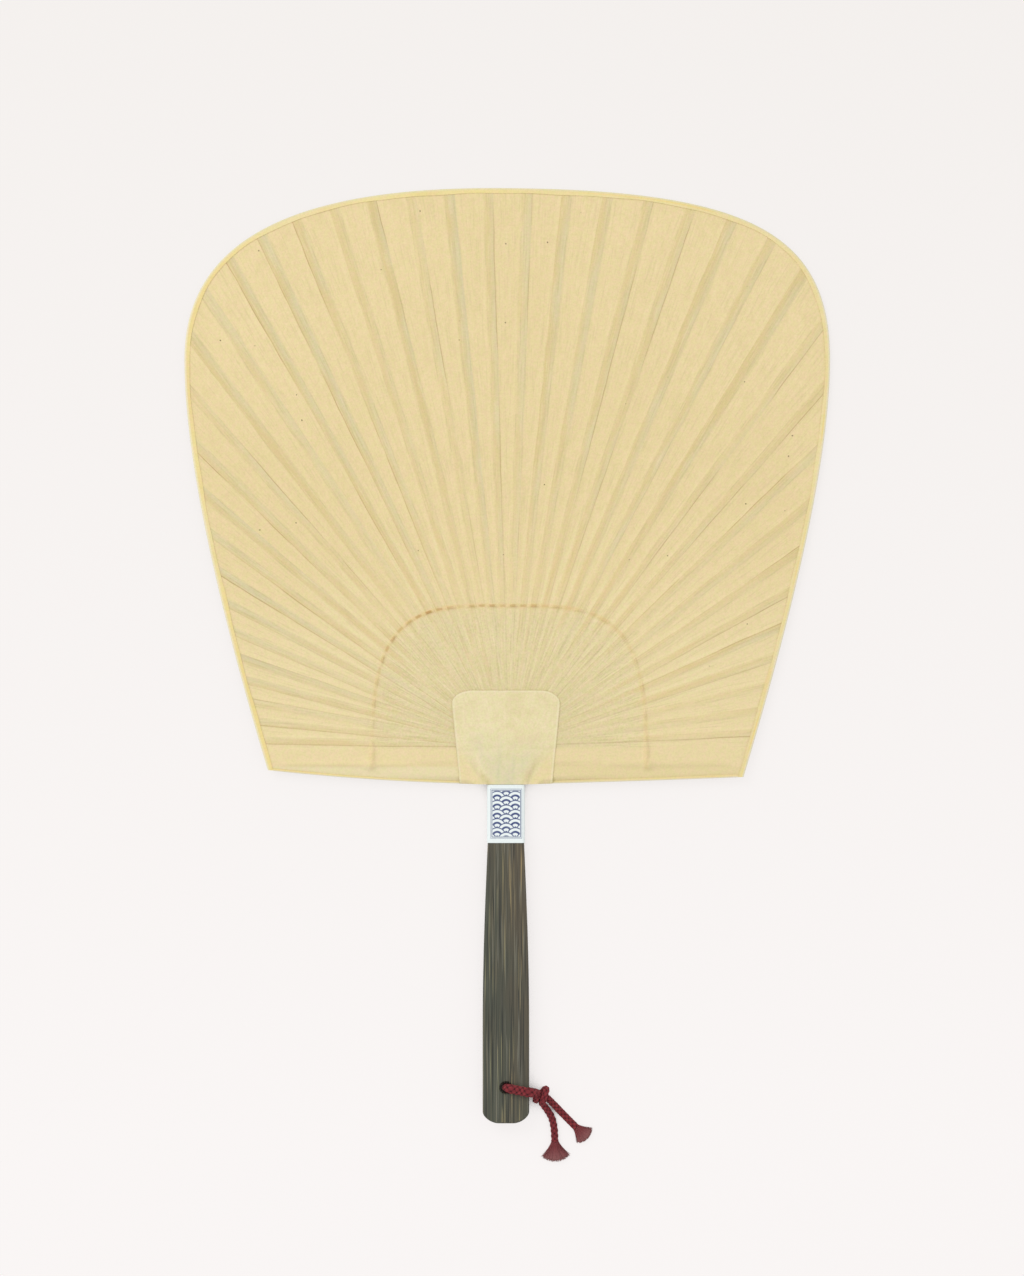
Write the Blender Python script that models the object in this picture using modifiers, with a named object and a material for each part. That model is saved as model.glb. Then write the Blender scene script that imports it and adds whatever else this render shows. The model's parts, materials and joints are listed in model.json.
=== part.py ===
"""A square uchiwa: a stiff paper fan on a frame split from one strip of bamboo.

The fan is drawn in its own frame first: X to the right, Y from the handle to the top of the leaf, Z out of
the front paper, with the origin where the leaf meets the handle, half way through the thickness. It is then
laid on its back on the plane Z = 0. There it rests on the top edge of the leaf and on the strand of the
hanging cord that runs under the handle, so it lies a little slanted.
"""

import math

import bmesh
import bpy
import numpy as np
from mathutils import Vector

MM = 0.001

# Leaf, seen from the front.
LEAF_HEIGHT = 235.8 * MM
LEAF_LEFT = 127.2 * MM
LEAF_RIGHT = 128.2 * MM
WIDEST_HEIGHT = 168.0 * MM
LEFT_FOOT_CORNER = (-94.2 * MM, 5.5 * MM)
RIGHT_FOOT_CORNER = (94.0 * MM, 2.8 * MM)
LEFT_FOOT_SAG = 1.0 * MM
RIGHT_FOOT_SAG = 0.2 * MM
CROWN_SHIFT = -6.0 * MM
SIDE_LEAN = 0.30
SIDE_REACH = 52.0 * MM
WAIST_REACH = 45.0 * MM
LEFT_SHOULDER = (44.0 * MM, 84.0 * MM)
RIGHT_SHOULDER = (50.0 * MM, 103.0 * MM)
RIM_POINTS = 43
RIM_STEP = 16.0 * MM
RIM_TURN = 13.0

# Papers and strips.
PAPER_THICKNESS = 0.2 * MM
GAP = 0.3 * MM
EDGE_STRIP_WIDTH = 2.6 * MM
FOOT_STRIP_WIDTH = 1.4 * MM
FOOT_STRIP_START = 12.5 * MM
NECK_HALF_WIDTH = 7.5 * MM
PATCH_HEIGHT = 37.2 * MM
PATCH_TOP_HALF_WIDTH = 22.0 * MM
PATCH_FOOT_HALF_WIDTH = 18.4 * MM
PATCH_SHOULDER = (8.6 * MM, 5.8 * MM)

# Handle, one flat strip with rounded arrises.
HANDLE_LENGTH = 134.1 * MM
HANDLE_THICKNESS = 4.6 * MM
HANDLE_ARRIS = 0.8 * MM
GRIP_HALF_WIDTH = 9.2 * MM
WAIST_HALF_WIDTH = 7.2 * MM
HEAD_HEIGHT = 11.5 * MM
HEAD_FLARE = 6.0 * MM
GRIP_TAPER = 72.0 * MM
END_CORNER = (6.1 * MM, 4.5 * MM)
END_SQUARENESS = 1.7
LABEL_LENGTH = 23.2 * MM

# Ribs, split from the same strip and counted through the paper.
RIB_COUNT = 41
RIB_PITCH = 0.42 * MM
RIB_THICKNESS = 0.34 * MM
RIB_ROOT_WIDTH = 3.0 * MM
RIB_WAIST_WIDTH = 1.6 * MM
RIB_WIDTH = 3.2 * MM
RIB_RISE = 3.3 * MM
RIB_BEND = 8.0 * MM
TWIST_START = 8.0 * MM
TWIST_END = 44.0 * MM
RIB_SHAVED_TO = 56.0 * MM
RIB_FULL_WIDTH_AT = 95.0 * MM
RIB_END_CLEARANCE = 2.3 * MM
RIB_END_INSET = EDGE_STRIP_WIDTH + RIB_END_CLEARANCE
HEAD_HALF_WIDTH = RIB_COUNT * RIB_PITCH / 2 + GAP
FOCUS_HEIGHT = 8.7 * MM
FIRST_BEARING = 175.0
LAST_BEARING = 6.6
BEARING_LEAN = 4.9
BEARING_DRIFT = 2.0

# Cross stick and weaving string.
STICK_HEIGHT = 7.9 * MM
STICK_RADIUS = 1.2 * MM
STICK_END_RADIUS = 0.6 * MM
STICK_HALF_LENGTH = 88.0 * MM
STRING_DIAMETER = 0.5 * MM
STRING_TURNS = 1.5
STRING_TURN_PITCH = 1.0 * MM
STRING_SWING = 0.9 * MM
STRING_RIDGE = 1.8 * MM
STICK_RIDGE = 1.6 * MM
ARCH_LEFT = 53.0 * MM
ARCH_RIGHT = 55.5 * MM
ARCH_HEIGHT = 70.6 * MM
ARCH_SQUARENESS = 3.7

# Hanging cord, in the hole's own frame. The legs' points are steps from the middle of the knot.
CORD_DIAMETER = 3.0 * MM
CORD_BEND = 2.8 * MM
HOLE_PLAY = 1.4 * MM
HOLE_DIAMETER = CORD_DIAMETER + HOLE_PLAY
HOLE_CHAMFER = 0.5 * MM
HOLE_FROM_END = 14.2 * MM
KNOT_FROM_EDGE = 5.0 * MM
KNOT_DROP = 3.3 * MM
KNOT_PLACE = (GRIP_HALF_WIDTH + KNOT_FROM_EDGE, -KNOT_DROP)
KNOT_BEARING = -28.0
KNOT_SQUEEZE = 0.76
KNOT_GAP = 0.58 * MM
KNOT_TURNS = 1.25
LEFT_LEG = ((2.4 * MM, -6.4 * MM), (4.0 * MM, -9.4 * MM), (4.9 * MM, -13.4 * MM), (5.2 * MM, -18.6 * MM))
RIGHT_LEG = ((4.9 * MM, -4.0 * MM), (7.6 * MM, -6.9 * MM), (13.6 * MM, -13.0 * MM))
LEG_LIFT = 0.9 * MM
CORD_FLOOR_GAP = 0.05 * MM
TUFT_LENGTH = 6.6 * MM
TUFT_THICKNESS = 1.8 * MM
LEFT_TUFT_WIDTH = 10.6 * MM
RIGHT_TUFT_WIDTH = 8.4 * MM

# Colours as linear red, green and blue, with roughness.
BAMBOO_DARK = ((0.086, 0.080, 0.060), 0.55)
BAMBOO_PALE = ((0.560, 0.450, 0.250), 0.60)
PAPER = ((0.780, 0.620, 0.350), 0.90)
PAPER_PATCH = ((0.800, 0.680, 0.430), 0.90)
STRIP_YELLOW = ((0.770, 0.600, 0.260), 0.85)
LABEL_PALE = ((0.790, 0.870, 0.870), 0.80)
THREAD = ((0.480, 0.300, 0.150), 0.90)
CORD_RED = ((0.120, 0.030, 0.033), 0.85)
TUFT_RED = ((0.180, 0.075, 0.075), 0.95)


def smoothstep(value):
    """0 below 0, 1 above 1, and a smooth S between."""
    value = np.clip(value, 0.0, 1.0)
    return value * value * (3.0 - 2.0 * value)


def bezier(start, handle_a, handle_b, end, count):
    """Points of one cubic Bezier piece, both ends included."""
    t = np.linspace(0.0, 1.0, count)[:, None]
    p = [np.array(q, float) for q in (start, handle_a, handle_b, end)]
    return (1 - t) ** 3 * p[0] + 3 * (1 - t) ** 2 * t * p[1] + 3 * (1 - t) * t**2 * p[2] + t**3 * p[3]


def lengths_along(points):
    """The distance from the first point to each point, along the line."""
    steps = np.linalg.norm(np.diff(points, axis=0), axis=1)
    return np.concatenate([[0.0], np.cumsum(steps)])


def at_lengths(points, wanted):
    """The points at the wanted distances along a line."""
    along = lengths_along(points)
    return np.stack([np.interp(wanted, along, points[:, k]) for k in range(points.shape[1])], axis=1)


def catmull(points, per_span):
    """A smooth line through the points, by Catmull-Rom, with per_span[i] steps in span i."""
    p = np.array(points, float)
    p = np.vstack([2 * p[0] - p[1], p, 2 * p[-1] - p[-2]])
    out = []
    for i, steps in enumerate(per_span):
        a, b, c, d = p[i : i + 4]
        for t in np.linspace(0.0, 1.0, steps, endpoint=False):
            out.append(0.5 * (2 * b + (c - a) * t + (2 * a - 5 * b + 4 * c - d) * t**2
                              + (3 * b - a - 3 * c + d) * t**3))
    out.append(p[-2])
    return np.array(out)


# The outline of the leaf.


def foot_line(x):
    """Height of the leaf's lower edge at x: from the neck to a corner, sagging a little between."""
    x = np.asarray(x, float)
    corner_x = np.where(x < 0, LEFT_FOOT_CORNER[0], RIGHT_FOOT_CORNER[0])
    corner_y = np.where(x < 0, LEFT_FOOT_CORNER[1], RIGHT_FOOT_CORNER[1])
    sag = np.where(x < 0, LEFT_FOOT_SAG, RIGHT_FOOT_SAG)
    share = np.clip((np.abs(x) - NECK_HALF_WIDTH) / (np.abs(corner_x) - NECK_HALF_WIDTH), 0.0, 1.0)
    return corner_y * share - 4 * sag * share * (1 - share)


def leaf_outline():
    """The outer edge of the leaf from its left foot corner, over the top, to its right foot corner."""
    side = np.array([SIDE_LEAN, 1.0]) / math.hypot(SIDE_LEAN, 1.0) * SIDE_REACH
    crown = np.array([CROWN_SHIFT, LEAF_HEIGHT])
    pieces = []
    for sign, widest, corner, (rise, reach) in (
        (-1, LEAF_LEFT, LEFT_FOOT_CORNER, LEFT_SHOULDER),
        (1, LEAF_RIGHT, RIGHT_FOOT_CORNER, RIGHT_SHOULDER),
    ):
        waist = np.array([sign * widest, WIDEST_HEIGHT])
        low = bezier(corner, corner + side * (sign, 1), waist - (0, WAIST_REACH), waist, 120)
        high = bezier(waist, waist + (0, rise), crown + (sign * reach, 0), crown, 160)
        pieces.append(np.vstack([low, high[1:]]))
    return np.vstack([pieces[0], pieces[1][-2::-1]])


def inset(points, distance):
    """The line moved to its right-hand side by distance, which is inwards for the leaf's outline."""
    tangent = np.gradient(points, axis=0)
    tangent /= np.linalg.norm(tangent, axis=1)[:, None]
    return points + np.stack([tangent[:, 1], -tangent[:, 0]], axis=1) * distance


def bearing_of(points):
    """Bearing of each point about the focus of the ribs, in degrees: 180 on the left, 0 on the right."""
    bearing = np.degrees(np.arctan2(points[:, 1] - FOCUS_HEIGHT, points[:, 0]))
    return np.where(bearing < -90.0, bearing + 360.0, bearing)


OUTLINE = leaf_outline()
STRIP_CLEARANCE = GAP + PAPER_THICKNESS
RIM = inset(OUTLINE, STRIP_CLEARANCE)


def on_rim_at_bearing(bearing):
    """The point of the papers' rim at a bearing about the focus."""
    bearings = bearing_of(RIM)[::-1]
    return np.array([np.interp(bearing, bearings, RIM[::-1, k]) for k in (0, 1)])


def rim_effort():
    """A measure along the rim that grows with its length and with its turning, to space points by."""
    heading = np.degrees(np.unwrap(np.arctan2(*np.gradient(RIM, axis=0).T)))
    turning = np.concatenate([[0.0], np.cumsum(np.abs(np.diff(heading)))])
    return lengths_along(RIM) / RIM_STEP + turning / RIM_TURN


def on_rim_at_height(height, sign):
    """The point of the papers' rim at a height on the left (sign -1) or right side."""
    side = RIM[: len(RIM) // 3] if sign < 0 else RIM[::-1][: len(RIM) // 3]
    return np.array([np.interp(height, side[:, 1], side[:, 0]), height])


# The ribs.


def rib_bearings():
    """Bearings of the ribs' ends: an even spread, leaning a little to the left as the real one does."""
    u = np.linspace(0.0, 1.0, RIB_COUNT)
    even = FIRST_BEARING + (LAST_BEARING - FIRST_BEARING) * u
    return even + BEARING_LEAN * np.sin(math.pi * u) - BEARING_DRIFT * np.sin(2 * math.pi * u)


def rib_bends(bearings):
    """Where each rib turns out of the head.

    Each rib bends round the one below it at an even pitch, so a bend lies higher than its outer neighbour's
    by the pitch times the tangent of half the turn.
    """
    x = (np.arange(RIB_COUNT) - (RIB_COUNT - 1) / 2) * RIB_PITCH
    half_turn = np.radians(bearings - 90.0) / 2
    rise = RIB_PITCH * np.tan((half_turn[:-1] + half_turn[1:]) / 2)
    y = HEAD_HEIGHT + GAP + RIB_RISE + np.concatenate([[0.0], np.cumsum(rise)])
    return np.stack([x, y], axis=1)


BEARINGS = rib_bearings()
BENDS = rib_bends(BEARINGS)


def twist(along):
    """Turn of a rib from edge-on at the head to flat, in radians, at a distance from its bend."""
    return smoothstep((along - TWIST_START) / (TWIST_END - TWIST_START)) * math.pi / 2


def rib_width(along):
    """Width of a rib: shaved narrow where it is woven, and full width further out."""
    near = np.interp(along, [0.0, TWIST_END], [RIB_ROOT_WIDTH, RIB_WAIST_WIDTH])
    far = np.interp(along, [RIB_SHAVED_TO, RIB_FULL_WIDTH_AT], [RIB_WAIST_WIDTH, RIB_WIDTH])
    return np.where(along < TWIST_END, near, far)


def rib_half_height(along):
    """Half of the height that a turned rib takes up across the leaf."""
    turn = twist(along)
    return (rib_width(along) * np.cos(turn) + RIB_THICKNESS * np.sin(turn)) / 2


def rib_line(index):
    """Centreline of a rib, and the distance of each point from the rib's bend."""
    bend = BENDS[index]
    end = on_rim_at_bearing(BEARINGS[index])
    way = end - bend
    length = np.linalg.norm(way)
    way /= length
    root = np.array([bend[0], HEAD_HEIGHT + GAP])
    below = bend - (0.0, RIB_RISE)
    t = np.linspace(0.0, 1.0, 5)[1:, None]
    curve = (1 - t) ** 2 * below + 2 * (1 - t) * t * bend + t**2 * (bend + way * RIB_BEND)
    tip = length - RIB_END_INSET
    turning = TWIST_START + (TWIST_END - TWIST_START) * np.array([0.33, 0.53, 0.75, 1.0])
    middle = [s for s in (*turning, RIB_SHAVED_TO, RIB_FULL_WIDTH_AT) if s < tip - RIB_WIDTH]
    straight = np.array([bend + way * s for s in middle + [tip]])
    points = np.vstack([root[None], below[None], curve, straight])
    if below[1] < root[1] + GAP:
        points = np.delete(points, 1, axis=0)
    ahead = (points - bend) @ way
    return points, np.maximum(ahead, 0.0)


# Helpers that make Blender data.


def collection(name):
    made = bpy.data.collections.new(name)
    bpy.context.scene.collection.children.link(made)
    return made


def material(name, look, metallic=0.0):
    colour, roughness = look
    made = bpy.data.materials.new(name)
    made.use_nodes = True
    shader = made.node_tree.nodes["Principled BSDF"]
    shader.inputs["Base Color"].default_value = (*colour, 1.0)
    shader.inputs["Roughness"].default_value = roughness
    shader.inputs["Metallic"].default_value = metallic
    made.diffuse_color = (*colour, 1.0)
    return made


def link(name, data, look, where, parent):
    """Puts data into the scene as one named piece under its parent."""
    piece = bpy.data.objects.new(name, data)
    piece.parent = parent
    where.objects.link(piece)
    data.materials.append(look)
    return piece


def mesh_from(name, points, faces):
    mesh = bpy.data.meshes.new(name)
    mesh.from_pydata([tuple(map(float, p)) for p in points], [], faces)
    mesh.update()
    return mesh


def smooth(mesh, angle=35.0):
    """Shades a mesh smooth, but for its edges sharper than the angle."""
    mesh.shade_smooth()
    mesh.set_sharp_from_angle(angle=math.radians(angle))
    return mesh


def facing_out(mesh):
    """Turns the faces of a closed mesh outwards: all one way, then over if they enclose a negative volume."""
    work = bmesh.new()
    work.from_mesh(mesh)
    bmesh.ops.recalc_face_normals(work, faces=work.faces)
    if work.calc_volume(signed=True) < 0.0:
        bmesh.ops.reverse_faces(work, faces=work.faces)
    work.to_mesh(mesh)
    work.free()
    return mesh


def grid_faces(rows, columns):
    """Quads of a grid whose points are numbered row by row."""
    return [
        (r * columns + c, r * columns + c + 1, (r + 1) * columns + c + 1, (r + 1) * columns + c)
        for r in range(rows - 1)
        for c in range(columns - 1)
    ]


def halves(quads):
    """Two triangles for each quad, all split the same way, for surfaces whose quads are warped."""
    return [half for a, b, c, d in quads for half in ((a, b, c), (a, c, d))]


def loft(name, rings):
    """A closed solid through rings of the same number of points, with both ends filled."""
    count = len(rings[0])
    points = np.vstack(rings)
    sides = []
    for r in range(len(rings) - 1):
        for c in range(count):
            d = (c + 1) % count
            sides.append((r * count + c, r * count + d, (r + 1) * count + d, (r + 1) * count + c))
    faces = halves(sides)
    faces.append(tuple(range(count))[::-1])
    faces.append(tuple((len(rings) - 1) * count + c for c in range(count)))
    return smooth(facing_out(mesh_from(name, points, faces)))


def tube(name, points, radii, sides):
    """A round tube on a POLY spline, with filled ends; sides is Blender's bevel resolution."""
    data = bpy.data.curves.new(name, "CURVE")
    data.dimensions = "3D"
    data.bevel_depth = 1.0
    data.bevel_resolution = sides
    data.use_fill_caps = True
    spline = data.splines.new("POLY")
    spline.points.add(len(points) - 1)
    for slot, place, radius in zip(spline.points, points, np.broadcast_to(radii, len(points))):
        slot.co = (*map(float, place), 1.0)
        slot.radius = float(radius)
    return data


def plate(name, outline, thickness, arris=0.0):
    """A flat outline filled and thickened about Z = 0, with rounded arrises, as a mesh."""
    data = bpy.data.curves.new(name, "CURVE")
    data.dimensions = "2D"
    data.fill_mode = "BOTH"
    data.extrude = thickness / 2 - arris
    data.bevel_depth = arris
    data.bevel_resolution = 2
    data.offset = -arris
    spline = data.splines.new("POLY")
    spline.points.add(len(outline) - 1)
    for slot, place in zip(spline.points, outline):
        slot.co = (float(place[0]), float(place[1]), 0.0, 1.0)
    spline.use_cyclic_u = True
    drawn = bpy.data.objects.new(name + "_outline", data)
    bpy.context.scene.collection.objects.link(drawn)
    bpy.context.view_layer.update()
    evaluated = drawn.evaluated_get(bpy.context.evaluated_depsgraph_get())
    mesh = bpy.data.meshes.new_from_object(evaluated)
    bpy.data.objects.remove(drawn)
    mesh.materials.clear()
    work = bmesh.new()
    work.from_mesh(mesh)
    bmesh.ops.remove_doubles(work, verts=work.verts, dist=0.001 * MM)
    bmesh.ops.recalc_face_normals(work, faces=work.faces)
    work.to_mesh(mesh)
    work.free()
    return smooth(mesh)


def solidify(piece, thickness):
    """Thickens an open skin on the side that its faces look to."""
    thick = piece.modifiers.new("Thickness", "SOLIDIFY")
    thick.thickness = thickness
    thick.offset = 1.0


def boolean(piece, cutter, operation):
    cut = piece.modifiers.new(cutter.name, "BOOLEAN")
    cut.operation = operation
    cut.object = cutter


def guide(name, data, where, parent):
    """A cutter: shown as wires and left out of the part."""
    made = bpy.data.objects.new(name, data)
    made.parent = parent
    made.hide_render = True
    made.display_type = "WIRE"
    where.objects.link(made)
    return made


# The leaf's skin: a net of rays from the neck, with rings across them.


def arch_radius(point):
    """How far out a point lies, as a share of the weaving arch: 1 on the arch, less inside it."""
    side = ARCH_LEFT if point[0] < 0 else ARCH_RIGHT
    n = ARCH_SQUARENESS
    return ((abs(point[0]) / side) ** n + (max(point[1], 0.0) / ARCH_HEIGHT) ** n) ** (1 / n)


def arch_crossing(start, way, reach):
    """Distance along a straight ray at which it crosses the weaving arch."""
    low, high = 0.0, reach
    for _ in range(40):
        middle = (low + high) / 2
        if arch_radius(start + way * middle) < 1.0:
            low = middle
        else:
            high = middle
    return low


def skin_rays():
    """The rays of the net: their start at the neck, their bend, their end on the rim and their kind."""
    rays = []
    half = STICK_RADIUS + 1.5 * GAP
    tip_half = STICK_END_RADIUS + 1.5 * GAP
    neck_step = NECK_HALF_WIDTH / 14
    for sign, corner in ((-1, LEFT_FOOT_CORNER), (1, RIGHT_FOOT_CORNER)):
        above_strip = corner[1] + FOOT_STRIP_WIDTH
        lift = max(0.0, above_strip + GAP - (STICK_HEIGHT - tip_half))
        heights = (
            ("foot", 0.0, corner[1] + STRIP_CLEARANCE),
            ("strip", FOOT_STRIP_WIDTH, above_strip),
            ("stick", STICK_HEIGHT - half, STICK_HEIGHT - tip_half + lift),
            ("stick", STICK_HEIGHT, STICK_HEIGHT + lift),
            ("stick", STICK_HEIGHT + half, STICK_HEIGHT + tip_half + lift),
            ("above", STICK_HEIGHT + half + STICK_RIDGE, STICK_HEIGHT + half + STICK_RIDGE + lift),
        )
        group = []
        for step, (kind, low, high) in enumerate(heights):
            start = np.array([sign * (NECK_HALF_WIDTH - step * neck_step), STRIP_CLEARANCE])
            bend = np.array([sign * HEAD_HALF_WIDTH, max(low, STRIP_CLEARANCE)])
            group.append((start, bend, on_rim_at_height(high, sign), kind))
        rays.append(group)
    left, right = rays[0], rays[1][::-1]
    falling, effort = -bearing_of(RIM), rim_effort()
    low, high = (np.interp(-BEARINGS[k], falling, effort) for k in (0, -1))
    wanted = np.linspace(low, high, RIM_POINTS)
    ends = np.stack([np.interp(wanted, effort, RIM[:, k]) for k in (0, 1)], axis=1)
    reach = NECK_HALF_WIDTH - len(heights) * neck_step
    for end, bearing in zip(ends, bearing_of(ends)):
        share = np.interp(-bearing, -BEARINGS, np.linspace(-1.0, 1.0, RIB_COUNT))
        bend = np.array([np.interp(share, np.linspace(-1.0, 1.0, RIB_COUNT), BENDS[:, k]) for k in (0, 1)])
        left.append((np.array([share * reach, STRIP_CLEARANCE]), bend, end, "ribs"))
    return left + right


def skin_net():
    """Points of the net on the front side, one row for each ray, and the height of its inner face."""
    head = HANDLE_THICKNESS / 2 + GAP
    rim = GAP / 2
    flat = RIB_THICKNESS / 2 + GAP
    woven = RIB_THICKNESS / 2 + STRING_SWING + STRING_DIAMETER + GAP
    wound = STICK_RADIUS + GAP + STRING_DIAMETER + 1.2 * GAP
    paper = PAPER_THICKNESS
    rows = []
    for start, bend, end, kind in skin_rays():
        way = end - bend
        length = np.linalg.norm(way)
        way /= length
        arch = arch_crossing(bend, way, length)
        last = length - RIB_END_INSET + GAP
        closed = length - EDGE_STRIP_WIDTH - paper + STRIP_CLEARANCE
        inner = [TWIST_END * share for share in (0.07, 0.2, 0.43, 0.7)]
        fallen = arch + STRING_RIDGE
        steps = inner + [arch - STRING_RIDGE, arch, fallen, (fallen + last) / 2, last, closed, length]
        over_head = np.array([start[0] * 0.3 + bend[0] * 0.7, HEAD_HEIGHT + 2 * GAP])
        if kind != "ribs":
            over_head = (start + bend) / 2
        points = [start, over_head, bend] + [bend + way * s for s in steps]
        ribs = [float(rib_half_height(s)) + GAP for s in inner]
        if kind in ("foot", "strip"):
            heights = [head, head, head] + [rim] * len(steps)
            for point in points[3:]:
                above = STRIP_CLEARANCE if kind == "foot" else FOOT_STRIP_WIDTH + paper
                point[1] = foot_line(point[0]) + above
        elif kind == "stick":
            stick = STICK_RADIUS + GAP
            tip = STICK_END_RADIUS + GAP
            heights = [head, head, head] + [stick] * 4 + [wound] * 3 + [(stick + tip) / 2, tip, rim, rim]
        elif kind == "above":
            heights = [head, head, head] + [flat] * 9 + [rim, rim]
            heights[3] = ribs[0]
            heights[8] = woven
        else:
            heights = [head, head, ribs[0] + paper] + ribs + [flat, woven] + [flat] * 3 + [rim, rim]
        rows.append([(p[0], p[1], h) for p, h in zip(points, heights)])
    return np.array(rows)


def skin(name, net, side, lift):
    """The net as an open surface facing away from the ribs, lifted off the inner papers."""
    points = net.reshape(-1, 3).copy()
    points[:, 2] = side * (points[:, 2] + lift)
    # The quads are split the same way on every layer, so that the layers stay parallel.
    mesh = mesh_from(name, points, halves(grid_faces(*net.shape[:2])))
    upward = sum(polygon.normal.z for polygon in mesh.polygons)
    if upward * side < 0:
        mesh.flip_normals()
    return smooth(mesh)


# The pieces.


def handle_outline():
    """Half-widths along the handle, from the head down and round the end, as one closed outline."""
    heights = np.concatenate([
        np.linspace(HEAD_HEIGHT, 0.0, 8),
        np.linspace(-LABEL_LENGTH, -LABEL_LENGTH - GRIP_TAPER, 12),
        [END_CORNER[1] - HANDLE_LENGTH],
    ])
    flare = (HEAD_HALF_WIDTH - WAIST_HALF_WIDTH) * smoothstep(heights / HEAD_FLARE)
    share = np.clip((-LABEL_LENGTH - heights) / GRIP_TAPER, 0.0, 1.0)
    grip = (GRIP_HALF_WIDTH - WAIST_HALF_WIDTH) * np.sin(share * math.pi / 2)
    right = np.stack([WAIST_HALF_WIDTH + flare + grip, heights], axis=1)
    # The end's corners are quarters of a superellipse.
    turn = np.linspace(0.0, math.pi / 2, 9)[1:]
    round_off = np.stack([np.cos(turn), -np.sin(turn)], axis=1)
    round_off = np.sign(round_off) * np.abs(np.round(round_off, 9)) ** (2 / END_SQUARENESS)
    corner = np.array([GRIP_HALF_WIDTH - END_CORNER[0], END_CORNER[1] - HANDLE_LENGTH])
    right = np.vstack([right, corner + END_CORNER * round_off])
    return np.vstack([right, right[::-1] * (-1, 1)])


def turned(name, profile, sides, axis):
    """A turned cutter: a profile at +X run round an axis by a Screw modifier."""
    mesh = bpy.data.meshes.new(name)
    mesh.from_pydata(profile, [(i, i + 1) for i in range(len(profile) - 1)], [])
    spin = bpy.data.objects.new(name, mesh)
    screw = spin.modifiers.new("Turn", "SCREW")
    screw.steps = sides
    screw.render_steps = sides
    screw.use_merge_vertices = True
    screw.merge_threshold = 0.01 * MM
    if axis == "X":
        spin.rotation_euler = (0.0, math.pi / 2, 0.0)
    spin.hide_render = True
    spin.display_type = "WIRE"
    return spin


def make_handle(parts, cutters, fan, look):
    blank = plate("handle", handle_outline(), HANDLE_THICKNESS, HANDLE_ARRIS)
    piece = link("handle", blank, look, parts, fan)
    face = HANDLE_THICKNESS / 2
    bore, mouth = HOLE_DIAMETER / 2, HOLE_DIAMETER / 2 + HOLE_CHAMFER
    over = 1 * MM
    profile = [
        (0.0, 0.0, face + over), (mouth + over, 0.0, face + over), (bore, 0.0, face - HOLE_CHAMFER),
        (bore, 0.0, HOLE_CHAMFER - face), (mouth + over, 0.0, -face - over), (0.0, 0.0, -face - over),
    ]
    hole = turned("cord_hole", profile, 24, "Z")
    hole.location = (0.0, HOLE_FROM_END - HANDLE_LENGTH, 0.0)
    stick_bore = STICK_RADIUS + GAP
    reach = HEAD_HALF_WIDTH + over
    side = [(0.0, 0.0, reach), (stick_bore, 0.0, reach), (stick_bore, 0.0, -reach), (0.0, 0.0, -reach)]
    passage = turned("stick_hole", side, 16, "X")
    passage.location = (0.0, STICK_HEIGHT, 0.0)
    for cutter in (hole, passage):
        cutter.parent = fan
        cutters.objects.link(cutter)
        boolean(piece, cutter, "DIFFERENCE")
    piece.modifiers.new("Even shading", "WEIGHTED_NORMAL").keep_sharp = True
    return piece


def make_rib(index, parts, fan, look):
    points, along = rib_line(index)
    tangent = np.gradient(points, axis=0)
    tangent /= np.linalg.norm(tangent, axis=1)[:, None]
    tangent[0] = (0.0, 1.0)
    across = np.stack([tangent[:, 1], -tangent[:, 0], np.zeros(len(points))], axis=1)
    up = np.array([0.0, 0.0, 1.0])
    rings = []
    for place, side, s in zip(points, across, along):
        turn = float(twist(s))
        wide = (math.cos(turn) * up + math.sin(turn) * side) * float(rib_width(s)) / 2
        thick = (math.cos(turn) * side - math.sin(turn) * up) * RIB_THICKNESS / 2
        centre = np.array([place[0], place[1], 0.0])
        rings.append([centre + wide + thick, centre - wide + thick, centre - wide - thick,
                      centre + wide - thick])
    name = f"rib_{index + 1:02d}"
    return link(name, loft(name, rings), look, parts, fan)


def stick_radius(x):
    return np.interp(np.abs(x), [HEAD_HALF_WIDTH, STICK_HALF_LENGTH], [STICK_RADIUS, STICK_END_RADIUS])


def make_stick(parts, fan, look):
    x = np.concatenate([
        np.linspace(-STICK_HALF_LENGTH, -HEAD_HALF_WIDTH, 4),
        np.linspace(HEAD_HALF_WIDTH, STICK_HALF_LENGTH, 4),
    ])
    points = np.stack([x, np.full_like(x, STICK_HEIGHT), np.zeros_like(x)], axis=1)
    return link("cross_stick", tube("cross_stick", points, stick_radius(x), 2), look, parts, fan)


def arch_point(angle):
    """Point of the weaving arch at an angle about the middle of its foot."""
    way = np.array([math.cos(angle), math.sin(angle)])
    return way / arch_radius(way)


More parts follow.
